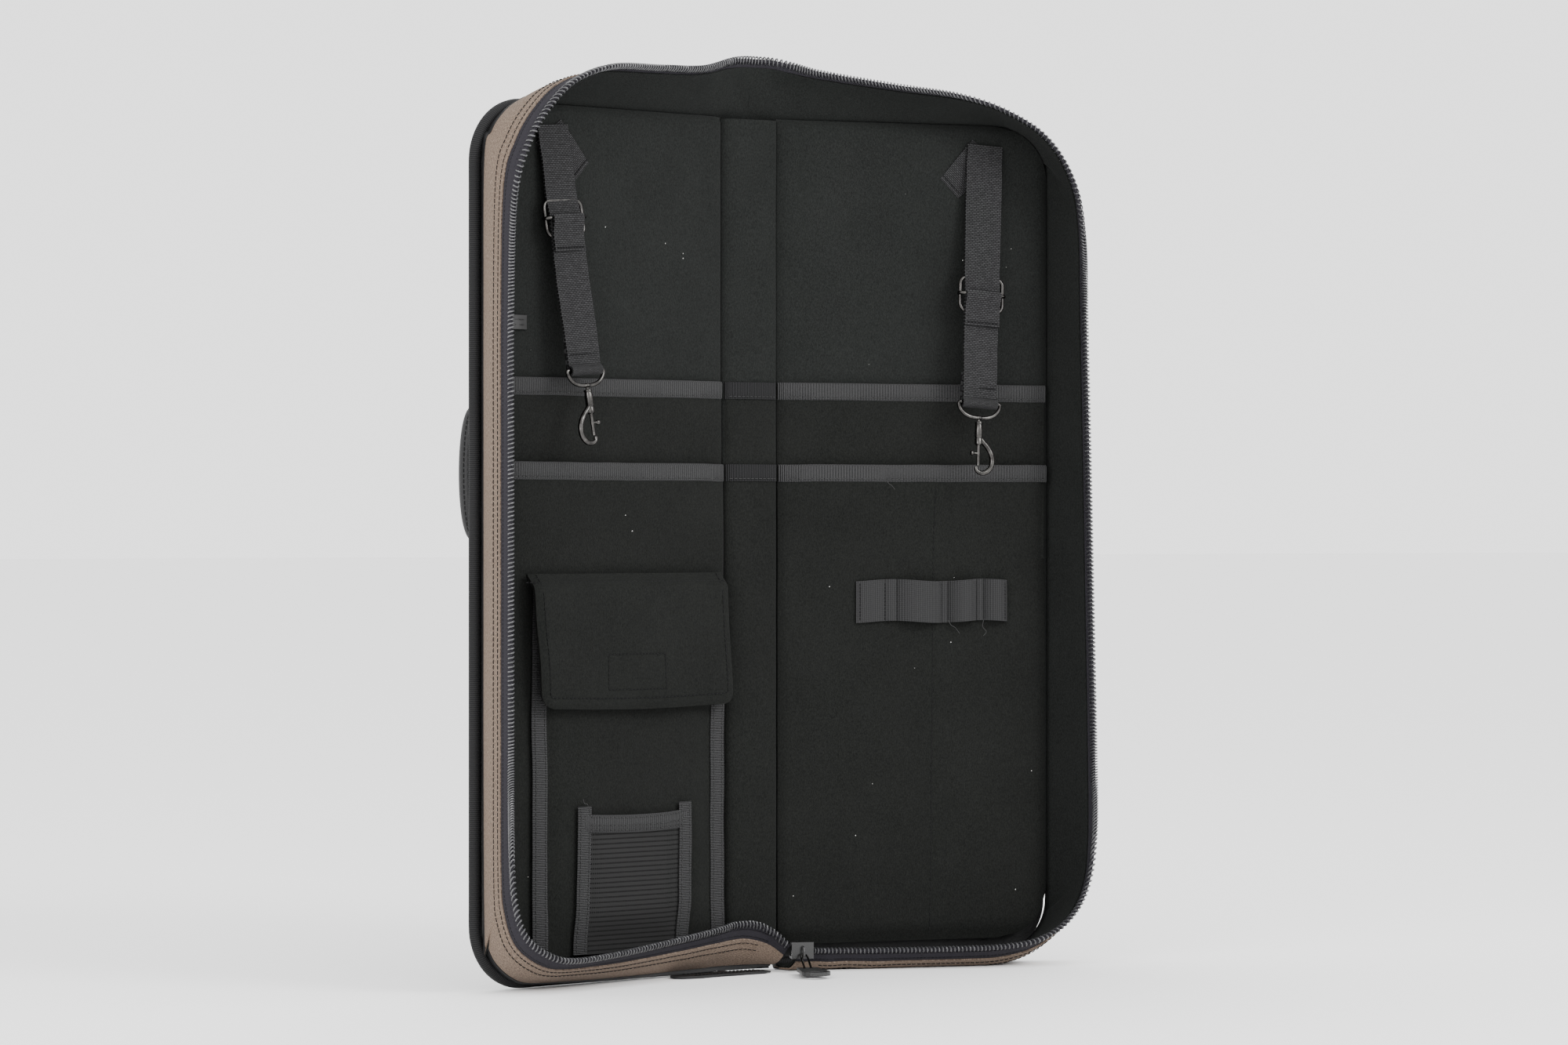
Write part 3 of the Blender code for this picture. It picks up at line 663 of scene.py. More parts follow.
for name in SIDES:
    rims = [rim for rim, base in walls[name]]
    total = sum((b - a).length for a, b in zip(rims, rims[1:])) / MM
    turns = int(total / COIL_PITCH)
    rounds = 10
    places = []
    for k in range(turns * rounds + 1):
        spot = k / (turns * rounds) * WALL_STEPS
        i = min(int(spot), WALL_STEPS - 1)
        share = spot - i
        rim = walls[name][i][0].lerp(walls[name][i + 1][0], share)
        base = walls[name][i][1].lerp(walls[name][i + 1][1], share)
        ahead = (walls[name][i + 1][0] - walls[name][i][0]).normalized()
        up = (rim - base).normalized()
        out = ahead.cross(up).normalized()
        turn = 2 * math.pi * k / rounds
        places.append(rim + (up * (2.3 * math.cos(turn) - 1.6) + out * 1.3 * math.sin(turn)) * MM)
    coil = rope(name + "_coil_loops", places, 0.5, 6, coil_nylon, None,
                [name + "_zip_coil", *zip_nodes[name]])
    bend_with(coil)
    cord = [rim.lerp(base, 0.045) for rim, base in walls[name]]
    core = rope(name + "_coil_core", cord, 1.0, 6, tape_cloth, None, ())
    bend_with(core)
    for share in (0.765, 0.87):
        line = [wall_at(name, i, share, 0.45) for i in range(2, WALL_STEPS - 2, 3)]
        row = stitches("%s_coil_stitches_%d" % (name, share * 100), line, COIL_PITCH, black_thread,
                       lift=off_wall, width=0.45)
        bend_with(row)

# --------------------------------------------------------------- stick pockets
# Two sheets of the same cloth lie over the lower part of the lining. The rear one ends in the
# upper binding and the front one in the lower binding: ribbed tape folded over the mouth.

POCKET_LOW, REAR_LOW = 15.0, 240.0      # the rear sheets end behind the front ones
REAR_TOP, FRONT_TOP, BINDING = 343.0, 295.3, 9.8


def stand_off(u, z, top, low, high, width=170.0):
    """How far a pocket stands off the lining."""
    mouth = ease((z - top + 50) / 40.0)
    sides = ease(u / 16.0) * ease((width - u) / 16.0)
    return low + (high - low) * mouth * sides


def rear_h(u, z):
    return stand_off(u, z, REAR_TOP, 1.4, 3.6) + 0.45 * ripple(u, z, 38, 11)


def front_h(u, z):
    return stand_off(u, z, FRONT_TOP, 3.0, 6.0) + 0.7 * ripple(u, z, 55, 13)


def binding_material(name, low, high):
    """Grosgrain tape: fine ribs across it and a woven edge."""
    made = start_material(name, high, 0.85, sheen=0.02, specular=0.08)
    ribs = node(made, "ShaderNodeTexWave", [("Vector", lay_place(made))], Scale=0.32,
                Distortion=0.35, Detail=2.0, bands_direction="X")
    yarn = node(made, "ShaderNodeTexNoise", [("Vector", lay_place(made, (0.8, 2.2, 1)))],
                Scale=1.4, Detail=4.0)
    mixed = mix(made, ribs.outputs[1], yarn.outputs[0], 0.65)
    tint(made, mixed, low, high, 0.15, 0.85)
    relief(made, mixed, 0.75, 0.35)
    return made


grosgrain = binding_material("grosgrain", (0.004, 0.004, 0.004), (0.048, 0.048, 0.049))
grey_thread = thread_material("grey_thread", (0.03, 0.03, 0.03))


def edge_fall(u):
    """Cloth dives into the crease at the fold."""
    return -2.4 * (1 - ease(u / 4.5)) ** 2


def half_cloth(piece_name, name, height, u_span, z_span, material, node_name, slot, cells,
               thickness=1.0):
    """A sheet on a half, over a range of u and z, whose height above the lining is given."""
    side = SIDES[name]

    def place(s, t):
        u = u_span[0] + (u_span[1] - u_span[0]) * s
        z = z_span[0] + (z_span[1] - z_span[0]) * t
        return on_half(side, u, height(u, z) + edge_fall(u), z)

    lay = (u_span[1] - u_span[0], z_span[1] - z_span[0])
    return cloth(piece_name, *cells, place, lay, thickness, material, name + "_half",
                 [node_name], slot)


def tape_over_edge(piece_name, name, height, top, node_name):
    """Binding tape: a rounded fold over the mouth of a pocket, sewn along its lower edge."""
    side, lift, start, width = SIDES[name], 0.3, 0.4, 168.6
    turn = ((0.0, 0.25), (0.5, 0.9), (BINDING - 1.2, 1.05), (BINDING - 0.3, 0.7), (BINDING, -0.3),
            (BINDING - 0.6, -1.1), (BINDING - 5, -1.0))

    def place(s, t):
        u = start + width * s
        up, out = turn[round(t * (len(turn) - 1))]
        z = top - BINDING + up + 0.25 * ripple(u, top, 24, 2)
        return on_half(side, u, height(u, min(z, top)) + out + lift + edge_fall(u), z)

    cloth(piece_name, 90, len(turn) - 1, place, (width, 16), 0.5, grosgrain,
          name + "_half", [node_name], "ribbed_binding")
    line = []
    for i in range(40):
        u = start + 1 + (width - 2) * i / 39
        z = top - BINDING + 1.5 + 0.25 * ripple(u, top, 24, 2)
        line.append(on_half(side, u, height(u, z) + lift + 1.25 + edge_fall(u), z))
    stitches(piece_name + "_stitches", line, 2.6, grey_thread, name + "_half",
             lift=facing(side), width=0.5)


POCKET_WIDTH, POCKET_CORNER = 168.5, 30.0

for name, side in SIDES.items():
    piece = half_cloth(name + "_rear_cloth", name, rear_h, (0.4, POCKET_WIDTH),
                       (REAR_LOW, REAR_TOP - 1), pocket_cloth, name + "_rear_pocket",
                       "brushed_lining", (56, 36))
    tape_over_edge(name + "_upper_tape", name, rear_h, REAR_TOP, name + "_upper_binding")

    def front_round(s, t, side=side):
        z = POCKET_LOW + (FRONT_TOP - 1 - POCKET_LOW) * t
        inset = max(POCKET_LOW + POCKET_CORNER - z, 0.0)
        u = s * (POCKET_WIDTH - POCKET_CORNER
                 + math.sqrt(max(POCKET_CORNER * POCKET_CORNER - inset * inset, 0.0)))
        tuck = -3.0 * (1 - ease(min((z - POCKET_LOW) / 10.0, (170 - u) / 8.0 + 0.05)))
        return on_half(side, 0.4 + u, front_h(u, z) + edge_fall(u) + tuck, z)

    piece = cloth(name + "_front_cloth", 60, 90, front_round, (168, 280), 1.0, pocket_cloth,
                  name + "_half", [name + "_front_pocket"], "brushed_lining")
    tape_over_edge(name + "_lower_tape", name, front_h, FRONT_TOP, name + "_lower_binding")


def spine_cloth(piece_name, z_span, lift, material, nodes=(), cells=(24, 60)):
    """The same pocket sheets go over the spine, pulled down into both creases."""

    def place(s, t):
        x = (2 * s - 1) * (FOLD - 0.5)
        z = z_span[0] + (z_span[1] - z_span[0]) * t
        crown = math.sqrt(max(1 - abs(2 * s - 1) ** 4, 0.0))
        y = 1.4 - (3.4 + lift) * crown - 0.3 * ripple(x, z, 22, 17) * crown
        return Vector((x, y, z)) * MM

    lay = (2 * FOLD, z_span[1] - z_span[0])
    return cloth(piece_name, *cells, place, lay, 0.9, material, "spine", nodes,
                 "brushed_lining" if material is pocket_cloth else "ribbed_binding")


spine_cloth("spine_rear_cloth", (REAR_LOW, REAR_TOP - 1), 0.8, pocket_cloth, ["spine_pocket_strip"])
spine_cloth("spine_front_cloth", (POCKET_LOW + 2, FRONT_TOP - 1), 2.0, pocket_cloth)
# The same grosgrain where it crosses the spine, painted darker: painted shade for the dim, recessed
# spine.
spine_grosgrain_painted_shade = binding_material("spine_grosgrain_painted_shade", (0.003, 0.003, 0.003), (0.021, 0.021, 0.022))
for label, top, lift in (("upper", REAR_TOP, 1.6), ("lower", FRONT_TOP, 2.8)):
    spine_cloth("spine_%s_tape" % label, (top - BINDING, top), lift, spine_grosgrain_painted_shade, (), (30, 8))
    row = [Vector((x, 1.0 - (3.4 + lift) * math.sqrt(1 - abs(x / FOLD) ** 4) - 0.55,
                   top - BINDING + 1.5)) * MM for x in range(-16, 17, 2)]
    stitches("spine_%s_stitches" % label, row, 2.6, grey_thread, "spine", width=0.45)

# One seam divides the front pocket of the right half.
divider = [on_half(1, 97.6 - 0.01 * (FRONT_TOP - z), front_h(97.6, z) + 0.55, z)
           for z in range(20, 286, 6)]
stitches("right_divider_stitches", divider, 3.0, black_thread, "right_half", width=0.4)

# --------------------------------------------------------------- accessory pocket and its flap
# A flat pocket on the left half, bound down both sides, with a padded flap that closes over it
# on a square of hook tape. The stitched square shows through the flap.


def accessory_h(u, z):
    body = ease((z - 24) / 24.0) * ease((u - 14) / 14.0) * ease((141 - u) / 14.0)
    return front_h(u, z) + 1.7 + 2.8 * body + 0.5 * ripple(u, z, 34, 19) * body


accessory = half_cloth("accessory_cloth", "left", accessory_h, (4.5, 145.5), (17.0, 226.0),
                       pocket_cloth, "accessory_pocket", "brushed_lining", (44, 60))


def strip_tape(piece_name, height, u_mid, width, z_low, z_high, node_name, lift=1.1):
    """Binding tape down the side of a pocket of the left half, sewn along both edges."""

    def at(s, z, extra):
        u = u_mid + (s - 0.5) * width + 0.4 * ripple(z, u_mid, 30, 4)
        dome = 0.5 * math.sqrt(max(1 - (2 * s - 1) ** 2, 0.0))
        return on_half(-1, u, height(u_mid, z) + lift + dome + extra, z)

    steps = int((z_high - z_low) / 3)
    cloth(piece_name, 8, steps, lambda s, t: at(s, z_low + (z_high - z_low) * t, 0.0),
          (z_high - z_low, z_high - z_low), 0.7, side_grosgrain, "left_half", [node_name],
          "ribbed_binding")
    for k, share in enumerate((0.18, 0.82)):
        line = [at(share, z_low + 1 + (z_high - z_low - 2) * i / steps, 0.45)
                for i in range(steps + 1)]
        stitches("%s_stitches_%d" % (piece_name, k + 1), line, 2.6, grey_thread, "left_half",
                 lift=facing(-1), width=0.5)


def side_binding_material():
    """The same ribbed tape where it runs upright, so that its ribs lie level."""
    made = start_material("side_grosgrain", (0.04, 0.04, 0.04), 0.85, sheen=0.02, specular=0.08)
    ribs = node(made, "ShaderNodeTexWave", [("Vector", object_place(made))], Scale=320.0,
                Distortion=0.4, Detail=2.0, bands_direction="Z")
    yarn = node(made, "ShaderNodeTexNoise", [("Vector", object_place(made, (1, 1, 0.4)))],
                Scale=1500.0, Detail=4.0)
    mixed = mix(made, ribs.outputs[1], yarn.outputs[0], 0.65)
    tint(made, mixed, (0.004, 0.004, 0.004), (0.046, 0.046, 0.047), 0.15, 0.85)
    relief(made, mixed, 0.75, 0.35)
    return made


side_grosgrain = side_binding_material()
strip_tape("accessory_tape_inner", accessory_h, 8.8, 10.0, 17.5, 200.0,
           "accessory_binding_inner", lift=1.0)
strip_tape("accessory_tape_outer", accessory_h, 140.5, 11.0, 17.5, 226.0,
           "accessory_binding_outer", lift=1.0)

FLAP_TOP, FLAP_LOW = 232.5, 157.5


def flap_h(u, z):
    """The flap rises over the pocket's mouth and then hangs almost level."""
    drop = FLAP_TOP - z
    return 8.2 + 5.6 * ease(drop / 9.0) + 1.4 * ease(drop / 60.0) + 0.8 * ripple(u, z, 30, 23)


def flap_point(s, t):
    """The flap narrows towards its free edge, where its corners are rounded."""
    z = FLAP_TOP + (FLAP_LOW - FLAP_TOP) * (1 - t)
    inner = 8.0 - 3.5 * (1 - t) + 3.0 * (1 - t) * t
    outer = 151.5 - 6.5 * (1 - t)
    low = max(0.0, 1 - (z - FLAP_LOW) / 8.0)
    round_off = 8.0 * (1 - math.sqrt(max(1 - low * low, 0.0)))
    inner, outer = inner + round_off * 0.8, outer - round_off
    u = inner + (outer - inner) * s
    sag = 1.5 * math.sin(math.pi * s) * (1 - t)
    return u, z - sag


def flap_surface(s, t):
    u, z = flap_point(s, even_rows(t))
    edge = min(s * 30, (1 - s) * 30, t * 15, 1.0)
    return on_half(-1, u, flap_h(u, z) - 1.3 * (1 - ease(edge)), z)


flap = cloth("pocket_flap_cloth", 60, 44, flap_surface, (150, 75), 2.2, pocket_cloth, "flap",
             ["pocket_flap"], "brushed_lining")


def between(a, b, steps):
    """Points on the straight line from a to b, in (u, z)."""
    return [(a[0] + (b[0] - a[0]) * i / steps, a[1] + (b[1] - a[1]) * i / steps)
            for i in range(steps + 1)]


def flap_line(outline):
    return [on_half(-1, u, flap_h(u, z) + 1.25, z) for u, z in outline]


FRONT = facing(-1)
edge = [flap_point(0.035, 1 - k / 12) for k in range(12)]
edge += [(u, z + 4.5) for u, z in (flap_point(0.035 + 0.93 * k / 14, 0.02) for k in range(15))]
edge += [flap_point(0.965, k / 12) for k in range(1, 13)]
stitches("flap_edge_stitches", flap_line(edge), 2.8, black_thread, "flap", lift=FRONT, width=0.5)
top = [(9 + 148 * k / 20, FLAP_TOP - 4.5) for k in range(21)]
stitches("flap_top_stitches", flap_line(top), 2.8, black_thread, "flap", lift=FRONT, width=0.5)
square = [(57, 187), (99, 187), (99, 167), (57, 167), (57, 187)]
for k, (a, b) in enumerate(zip(square, square[1:])):
    stitches("flap_patch_stitches_%d" % (k + 1), flap_line(between(a, b, 8)), 2.4, black_thread,
             "flap", lift=FRONT, width=0.45)


def hook_tape_material():
    """Hook-and-loop tape: a field of tiny loops."""
    made = start_material("hook_tape", (0.02, 0.02, 0.02), 0.9)
    loops = node(made, "ShaderNodeTexVoronoi", [("Vector", object_place(made))], Scale=900.0)
    tint(made, loops.outputs[0], (0.008, 0.008, 0.008), (0.04, 0.04, 0.04), 0.0, 0.6)
    relief(made, loops.outputs[0], 0.9, 0.6)
    return made


hook_tape = hook_tape_material()
for label, body in (("loop_patch", "left_half"), ("hook_patch", "flap")):

    def patch(s, t, label=label):
        u, z = 58 + 42 * s, 169 + 20 * t
        h = accessory_h(u, z) + 1.0 if label == "loop_patch" else flap_h(u, z) - 2.0
        return on_half(-1, u, h, z)

    cloth(label + "_tape", 20, 10, patch, (42, 20), 1.0, hook_tape, body, [label],
          "hook_and_loop")

# --------------------------------------------------------------- mesh pocket
# A small pocket of slotted mesh, bound on three sides, low on the accessory pocket.


def mesh_h(u, z):
    body = ease((z - 22) / 20.0) * ease((u - 42) / 12.0) * ease((113 - u) / 12.0)
    return accessory_h(u, z) + 1.5 + 2.6 * body


def mesh_material():
    """Warp-knit mesh: level rows of tiny dark slots."""
    made = start_material("slot_mesh", (0.02, 0.02, 0.02), 0.85, specular=0.05)
    slots = node(made, "ShaderNodeTexBrick", [("Vector", lay_place(made))], Scale=1.0,
                 Color1=(1, 1, 1, 1), Color2=(0.8, 0.8, 0.8, 1), Mortar=(0, 0, 0, 1),
                 Brick_Width=1.25, Row_Height=2.75, Mortar_Size=0.3, offset=0.0)
    level = node(made, "ShaderNodeTexWave", [("Vector", lay_place(made))], Scale=0.1145,
                 Phase_Offset=1.6, bands_direction="Y")
    dark = maths(made, "MAXIMUM", slots.outputs[0], maths(made, "GREATER_THAN",
                                                          level.outputs[1], 0.22))
    fine = node(made, "ShaderNodeTexWave", [("Vector", lay_place(made))], Scale=0.55,
                bands_direction="Y")
    mixed = maths(made, "MULTIPLY", dark, maths(made, "ADD", 0.75,
                                                maths(made, "MULTIPLY", fine.outputs[1], 0.25)))
    tint(made, mixed, (0.0015, 0.0015, 0.0015), (0.021, 0.021, 0.021), 0.1, 0.95)
    relief(made, mixed, 0.7, 0.35)
    return made


slot_mesh = mesh_material()
mesh_piece = half_cloth("mesh_cloth", "left", mesh_h, (33.5, 115.0), (17.5, 95.0), slot_mesh,
                        "mesh_pocket", "pocket_mesh", (40, 40), 0.7)
strip_tape("mesh_tape_inner", mesh_h, 37.2, 9.0, 18.0, 101.5, "mesh_binding_inner")
strip_tape("mesh_tape_outer", mesh_h, 112.5, 9.6, 18.0, 101.5, "mesh_binding_outer")


def mesh_mouth(s, t):
    """Tape folded over the pocket's slack mouth."""
    u = 36.5 + 76.5 * s
    turn = ((0.0, 0.3), (0.6, 1.0), (8.8, 1.1), (9.8, 0.5), (9.6, -0.7), (6.0, -0.8))
    up, out = turn[round(t * 5)]
    return on_half(-1, u, mesh_h(u, 95) + 0.7 + out, 87.0 + up - 1.2 * math.sin(math.pi * s))


cloth("mesh_tape_top", 60, 5, mesh_mouth, (77, 16), 0.5, grosgrain, "left_half",
      ["mesh_binding_top"], "ribbed_binding")
for k, z in enumerate((88.4, 91.0, 95.6)):
    line = [on_half(-1, 41 + 68 * i / 20, mesh_h(41 + 68 * i / 20, 95) + 2.15,
                    z - 1.2 * math.sin(math.pi * i / 20)) for i in range(21)]
    stitches("mesh_top_stitches_%d" % (k + 1), line, 2.6, grey_thread, "left_half", lift=FRONT,
             width=0.5)

# --------------------------------------------------------------- elastic loops
# Ribbed elastic on the right half, sewn down so that it stands up in loops for small tools.


def elastic_material():
    """Woven elastic: ribs along it, crossed by its covered rubber threads."""
    made = start_material("elastic", (0.03, 0.03, 0.03), 0.85, sheen=0.02, specular=0.08)
    ribs = node(made, "ShaderNodeTexWave", [("Vector", lay_place(made))], Scale=0.33,
                Distortion=0.2, bands_direction="X")
    cross = node(made, "ShaderNodeTexWave", [("Vector", lay_place(made))], Scale=0.42,
                 Distortion=0.8, Detail=2.0, bands_direction="Y")
    mixed = mix(made, ribs.outputs[1], cross.outputs[1], 0.7)
    tint(made, mixed, (0.007, 0.007, 0.007), (0.040, 0.040, 0.041), 0.1, 0.9)
    relief(made, mixed, 0.7, 0.3)
    return made


elastic = elastic_material()
LOOP_SEAMS = ((48.0, 1.0), (66.0, 1.6), (73.5, 5.8), (101.4, 1.0), (105.9, 6.2), (123.4, 1.0),
              (128.5, 5.0), (143.2, 0.0))


def loop_rise(u):
    """Height of the elastic over its base: low at each seam and bowed between two seams."""
    for (a, bow), (b, _) in zip(LOOP_SEAMS, LOOP_SEAMS[1:]):
        if a <= u <= b:
            return bow * math.sin(math.pi * (u - a) / (b - a)) ** 0.65
    return 0.0


def loop_point(s, t):
    u = LOOP_SEAMS[0][0] + 95.2 * s
    z = 203.0 + 24.5 * t + 0.7 * math.sin(u / 9.0)
    return on_half(1, u, front_h(u, z) + 1.2 + loop_rise(u), z)


cloth("elastic_band", 150, 10, loop_point, (118, 24.5), 1.1, elastic, "right_half",
      ["elastic_loops"], "strap_webbing")
for k, (u, bow) in enumerate(LOOP_SEAMS):
    u = min(max(u, 50.2), 141.0)
    line = [on_half(1, u, front_h(u, z) + 1.9 + loop_rise(u), z) for z in range(204, 228, 2)]
    stitches("elastic_stitches_%d" % (k + 1), line, 2.0, black_thread, "right_half",
             lift=facing(1), width=0.55)

# --------------------------------------------------------------- hanging straps
# Each half has a webbing strap, folded over at 45 degrees and sewn to the lining at its top.
# A wire glide adjusts it, and a snap hook on a swivel and a half-round ring hangs from its end.


def webbing_material():
    """Heavy woven webbing: rows of short yarns with a little hair on them."""
    made = start_material("webbing", (0.02, 0.02, 0.02), 0.85, sheen=0.01, specular=0.08)
    yarns = node(made, "ShaderNodeTexBrick", [("Vector", lay_place(made))], Scale=1.0,
                 Color1=(1, 1, 1, 1), Color2=(0.62, 0.62, 0.62, 1), Mortar=(0.05, 0.05, 0.05, 1),
                 Brick_Width=2.2, Row_Height=1.05, Mortar_Size=0.22, Mortar_Smooth=0.8)
    hair = node(made, "ShaderNodeTexNoise", [("Vector", object_place(made))], Scale=2200.0,
                Detail=3.0)
    mixed = mix(made, yarns.outputs[0], hair.outputs[0], 0.8)
    tint(made, mixed, (0.003, 0.003, 0.003), (0.034, 0.034, 0.035), 0.1, 0.95)
    relief(made, mixed, 0.9, 0.45)
    return made


def gunmetal_material():
    """Dark plated metal, rubbed brighter in places."""
    made = start_material("gunmetal", (0.17, 0.165, 0.16), 0.26, metallic=1.0)
    wear = node(made, "ShaderNodeTexNoise", [("Vector", object_place(made))], Scale=260.0,
                Detail=4.0)
    tint(made, wear.outputs[0], (0.030, 0.029, 0.028), (0.085, 0.082, 0.078), 0.35, 0.7)
    relief(made, wear.outputs[0], 0.08, 0.2)
    return made


webbing = webbing_material()
gunmetal = gunmetal_material()
STRAP_PIVOT = (130.0, 3.2, 485.0)
STRAP_WIDTH = 22.0
STRAP_LENGTH = {"left": 136.5, "right": 152.0}
STRAP_SLANT, STRAP_LEAN = math.radians(4.2), math.radians(7.0)
GLIDE_DROP = {"left": 53.0, "right": 90.0}

for name, side in SIDES.items():
    hang = (Matrix.Translation(on_half(side, *STRAP_PIVOT))
            @ Matrix.Rotation(-side * LEAN, 4, "Z")
            @ Matrix.Rotation(side * STRAP_SLANT, 4, "Y") @ Matrix.Rotation(-STRAP_LEAN, 4, "X"))
    body = name + "_strap"
    drop, length = GLIDE_DROP[name], STRAP_LENGTH[name]

    def hung(a, out, b, hang=hang):
        """A point of the strap: a across it, out towards the viewer and b down it."""
        return hang @ (Vector((a, -out, -b)) * MM)

    def web(s, t, side=side, drop=drop, length=length):
        b = t * (length + 0.5)
        a = (s - 0.5) * STRAP_WIDTH
        at_glide = math.exp(-((b - drop) / 7.0) ** 2)
        wave = 0.5 * ripple(b, 3, 26, side) + 0.9 * at_glide
        twist = 0.10 * math.sin(b / 38.0 + side) * a * (1 - math.exp(-b / 25))
        return hung(a + 0.2 * ripple(b, 9, 8), wave + twist, b)

    cloth(name + "_strap_web", 14, 110, web, (STRAP_WIDTH, length), 1.3, webbing, body,
          [name + "_strap_webbing"], "strap_webbing")

    def second(s, t, drop=drop):
        """The end of the webbing that comes back over the bar and is sewn below it."""
        b = drop - 1.5 + t * 20.5
        a = (s - 0.5) * (STRAP_WIDTH - 0.2)
        out = 2.5 * math.exp(-((b - drop) / 6.0) ** 2) + 1.45 + 0.5 * ripple(b, 3, 26, 1)
        return hung(a, out, b)

    cloth(name + "_strap_return", 14, 18, second, (STRAP_WIDTH, 20), 1.3, webbing, body, (),
          "strap_webbing")
    for label, b in (("glide", drop + 17.2), ("end", length - 6.0)):
        out = 2.5 if label == "glide" else 0.95
        line = [hung(a, out + 0.5 * ripple(b, 3, 26, 1) * (label == "glide"), b)
                for a in range(-10, 11, 2)]
        stitches("%s_strap_stitches_%s" % (name, label), line, 2.0, black_thread, body,
                 lift=hung(0, 1, 0) - hung(0, 0, 0), width=0.55)

    def eye_loop(s, t, length=length, hung=hung):
        """The webbing turns round the ring and back up behind itself."""
        radius = 2.5
        a = (s - 0.5) * STRAP_WIDTH
        if t < 0.8:
            turn = math.radians(80 - 260 * t / 0.8)
            return hung(a, radius * math.cos(turn), length + 3 - radius * math.sin(turn))
        b = length + 3 - (t - 0.8) / 0.2 * 18
        return hung(a, -2.5 + 0.9 * (t - 0.8) / 0.2, b)

    cloth(name + "_strap_turn", 10, 30, eye_loop, (STRAP_WIDTH, 30), 1.1, webbing, body, (),
          "strap_webbing")

    half_w, half_h, corner = 13.4, 10.0, 4.2
    ring = []
    for cx, cz, start in ((1, 1, 90), (1, -1, 0), (-1, -1, -90), (-1, 1, 180)):
        for i in range(7):
            turn = math.radians(start - 15 * i)
            ring.append(hung(cx * (half_w - corner) + corner * math.cos(turn), -0.6,
                             drop - cz * (half_h - corner) - corner * math.sin(turn)))
    rope(name + "_glide_ring", ring, 1.1, 12, gunmetal, name + "_glide",
         [name + "_glide_frame"], closed=True)
    bar_half = ((5, 2.5), (11.5, 2.2), (13.7, 1.2), (14.3, -0.3), (13.4, -1.9))
    bar = [hung(-a, out, drop) for a, out in reversed(bar_half)]
    bar += [hung(a, out, drop) for a, out in bar_half]
    rope(name + "_glide_crossbar", spline(bar, 40), 1.05, 12, gunmetal, name + "_glide",
         [name + "_glide_bar"])

    eye_b = length + 3.0
    bow = [(-12.7, 0), (-12.4, 3.2), (-9.7, 6.4), (-5.6, 8.2), (0, 8.8), (5.6, 8.2), (9.7, 6.4),
           (12.4, 3.2), (12.7, 0), (9, 0), (0, 0), (-9, 0)]
    rope(name + "_ring", spline([hung(a, 0, eye_b + b) for a, b in bow], 90, True), 1.15, 12,
         gunmetal, name + "_eye", [name + "_swivel_eye"], closed=True)

    hook_b = eye_b + 10.8
    turned = ((0.0, -3.4), (1.3, -3.3), (1.9, -2.6), (1.9, -1.6), (1.0, -0.9), (1.0, 0.0),
              (2.3, 0.4), (2.5, 1.2), (2.1, 1.8), (2.3, 2.6), (2.3, 9.2), (2.0, 9.8), (2.3, 10.4),
              (2.2, 13.4), (1.4, 14.2), (0.0, 14.2))

    def barrel(s, t, hook_b=hook_b):
        radius, b = turned[round(t * (len(turned) - 1))]
        turn = 2 * math.pi * s
        return hung(radius * math.cos(turn), radius * math.sin(turn), hook_b + b)

    post = grid_piece(name + "_hook_barrel", 20, len(turned) - 1, barrel, (14, 14))
    outward(post)
    finish_piece(post, gunmetal, name + "_hook", [name + "_hook_body"], 40)
    bend = [(0.6, 9.5), (2.4, 11.6), (5.4, 14.6), (7.9, 18.4), (8.9, 22.6), (8.1, 26.8),
            (5.3, 29.7), (1.9, 30.5), (-0.7, 29.2), (-1.2, 27.0)]
    curl = spline([hung(side * a, 0, hook_b + b) for a, b in bend], 48)
    rope(name + "_hook_curl", curl, lambda t: 1.55 - 0.5 * ease((t - 0.75) / 0.25), 12, gunmetal,
         name + "_hook", ())
    stem = spline([hung(0, 0, hook_b + b) for b in (13.0, 17, 21, 26.2)], 10)
    rope(name + "_hook_bolt_stem", stem, 1.0, 12, gunmetal, name + "_bolt",
         [name + "_hook_bolt"])
    stud = spline([hung(-side * a, 0, hook_b + 19.0) for a in (0.4, 2.0, 3.4, 4.6)], 9)
    rope(name + "_hook_stud", stud, lambda t: 0.7 + 0.75 * ease((t - 0.55) / 0.2), 10, gunmetal,
         name + "_bolt", ())

    def anchor(s, t, side=side):
        """The folded end under the strap: a tongue sewn down at 45 degrees."""
        high = Vector((141.0, 474.5)).lerp(Vector((122.5, 488.5)), s)
        low = Vector((113.5, 453.5)).lerp(Vector((102.2, 465.0)), s)
        spot = high.lerp(low, t)
        return on_half(side, spot.x, 1.6 + 0.5 * ripple(spot.x, spot.y, 12), spot.y)

    cloth(name + "_strap_tongue", 14, 24, anchor, (STRAP_WIDTH, 32), 1.3, webbing,
          name + "_half", [name + "_strap_anchor"], "strap_webbing")
    tip = [on_half(side, 103.6 + 10.6 * i / 8, 2.5, 467.0 - 10.9 * i / 8) for i in range(9)]
    stitches(name + "_tongue_stitches", tip, 1.9, black_thread, name + "_half", lift=FRONT,
             width=0.55)

# --------------------------------------------------------------- small parts of the left half
# A leathercloth grip, folded and edge-sewn, hangs from two stitched patches on the back; it
# swings on them. A tab of the same cloth lies under the foot, and a woven label marks the wall.

HANDLE_AT = Vector((-185.0, -15.0, 289.0))


def grip_bow(t):
    """The line of the grip, bowed outwards between its two patches."""
    turn = math.pi * t
    z = HANDLE_AT.z - 36 * math.cos(turn)
    return Vector((HANDLE_AT.x - 6.6 * math.sin(turn) ** 0.7, HANDLE_AT.y + math.sin(turn), z)) * MM


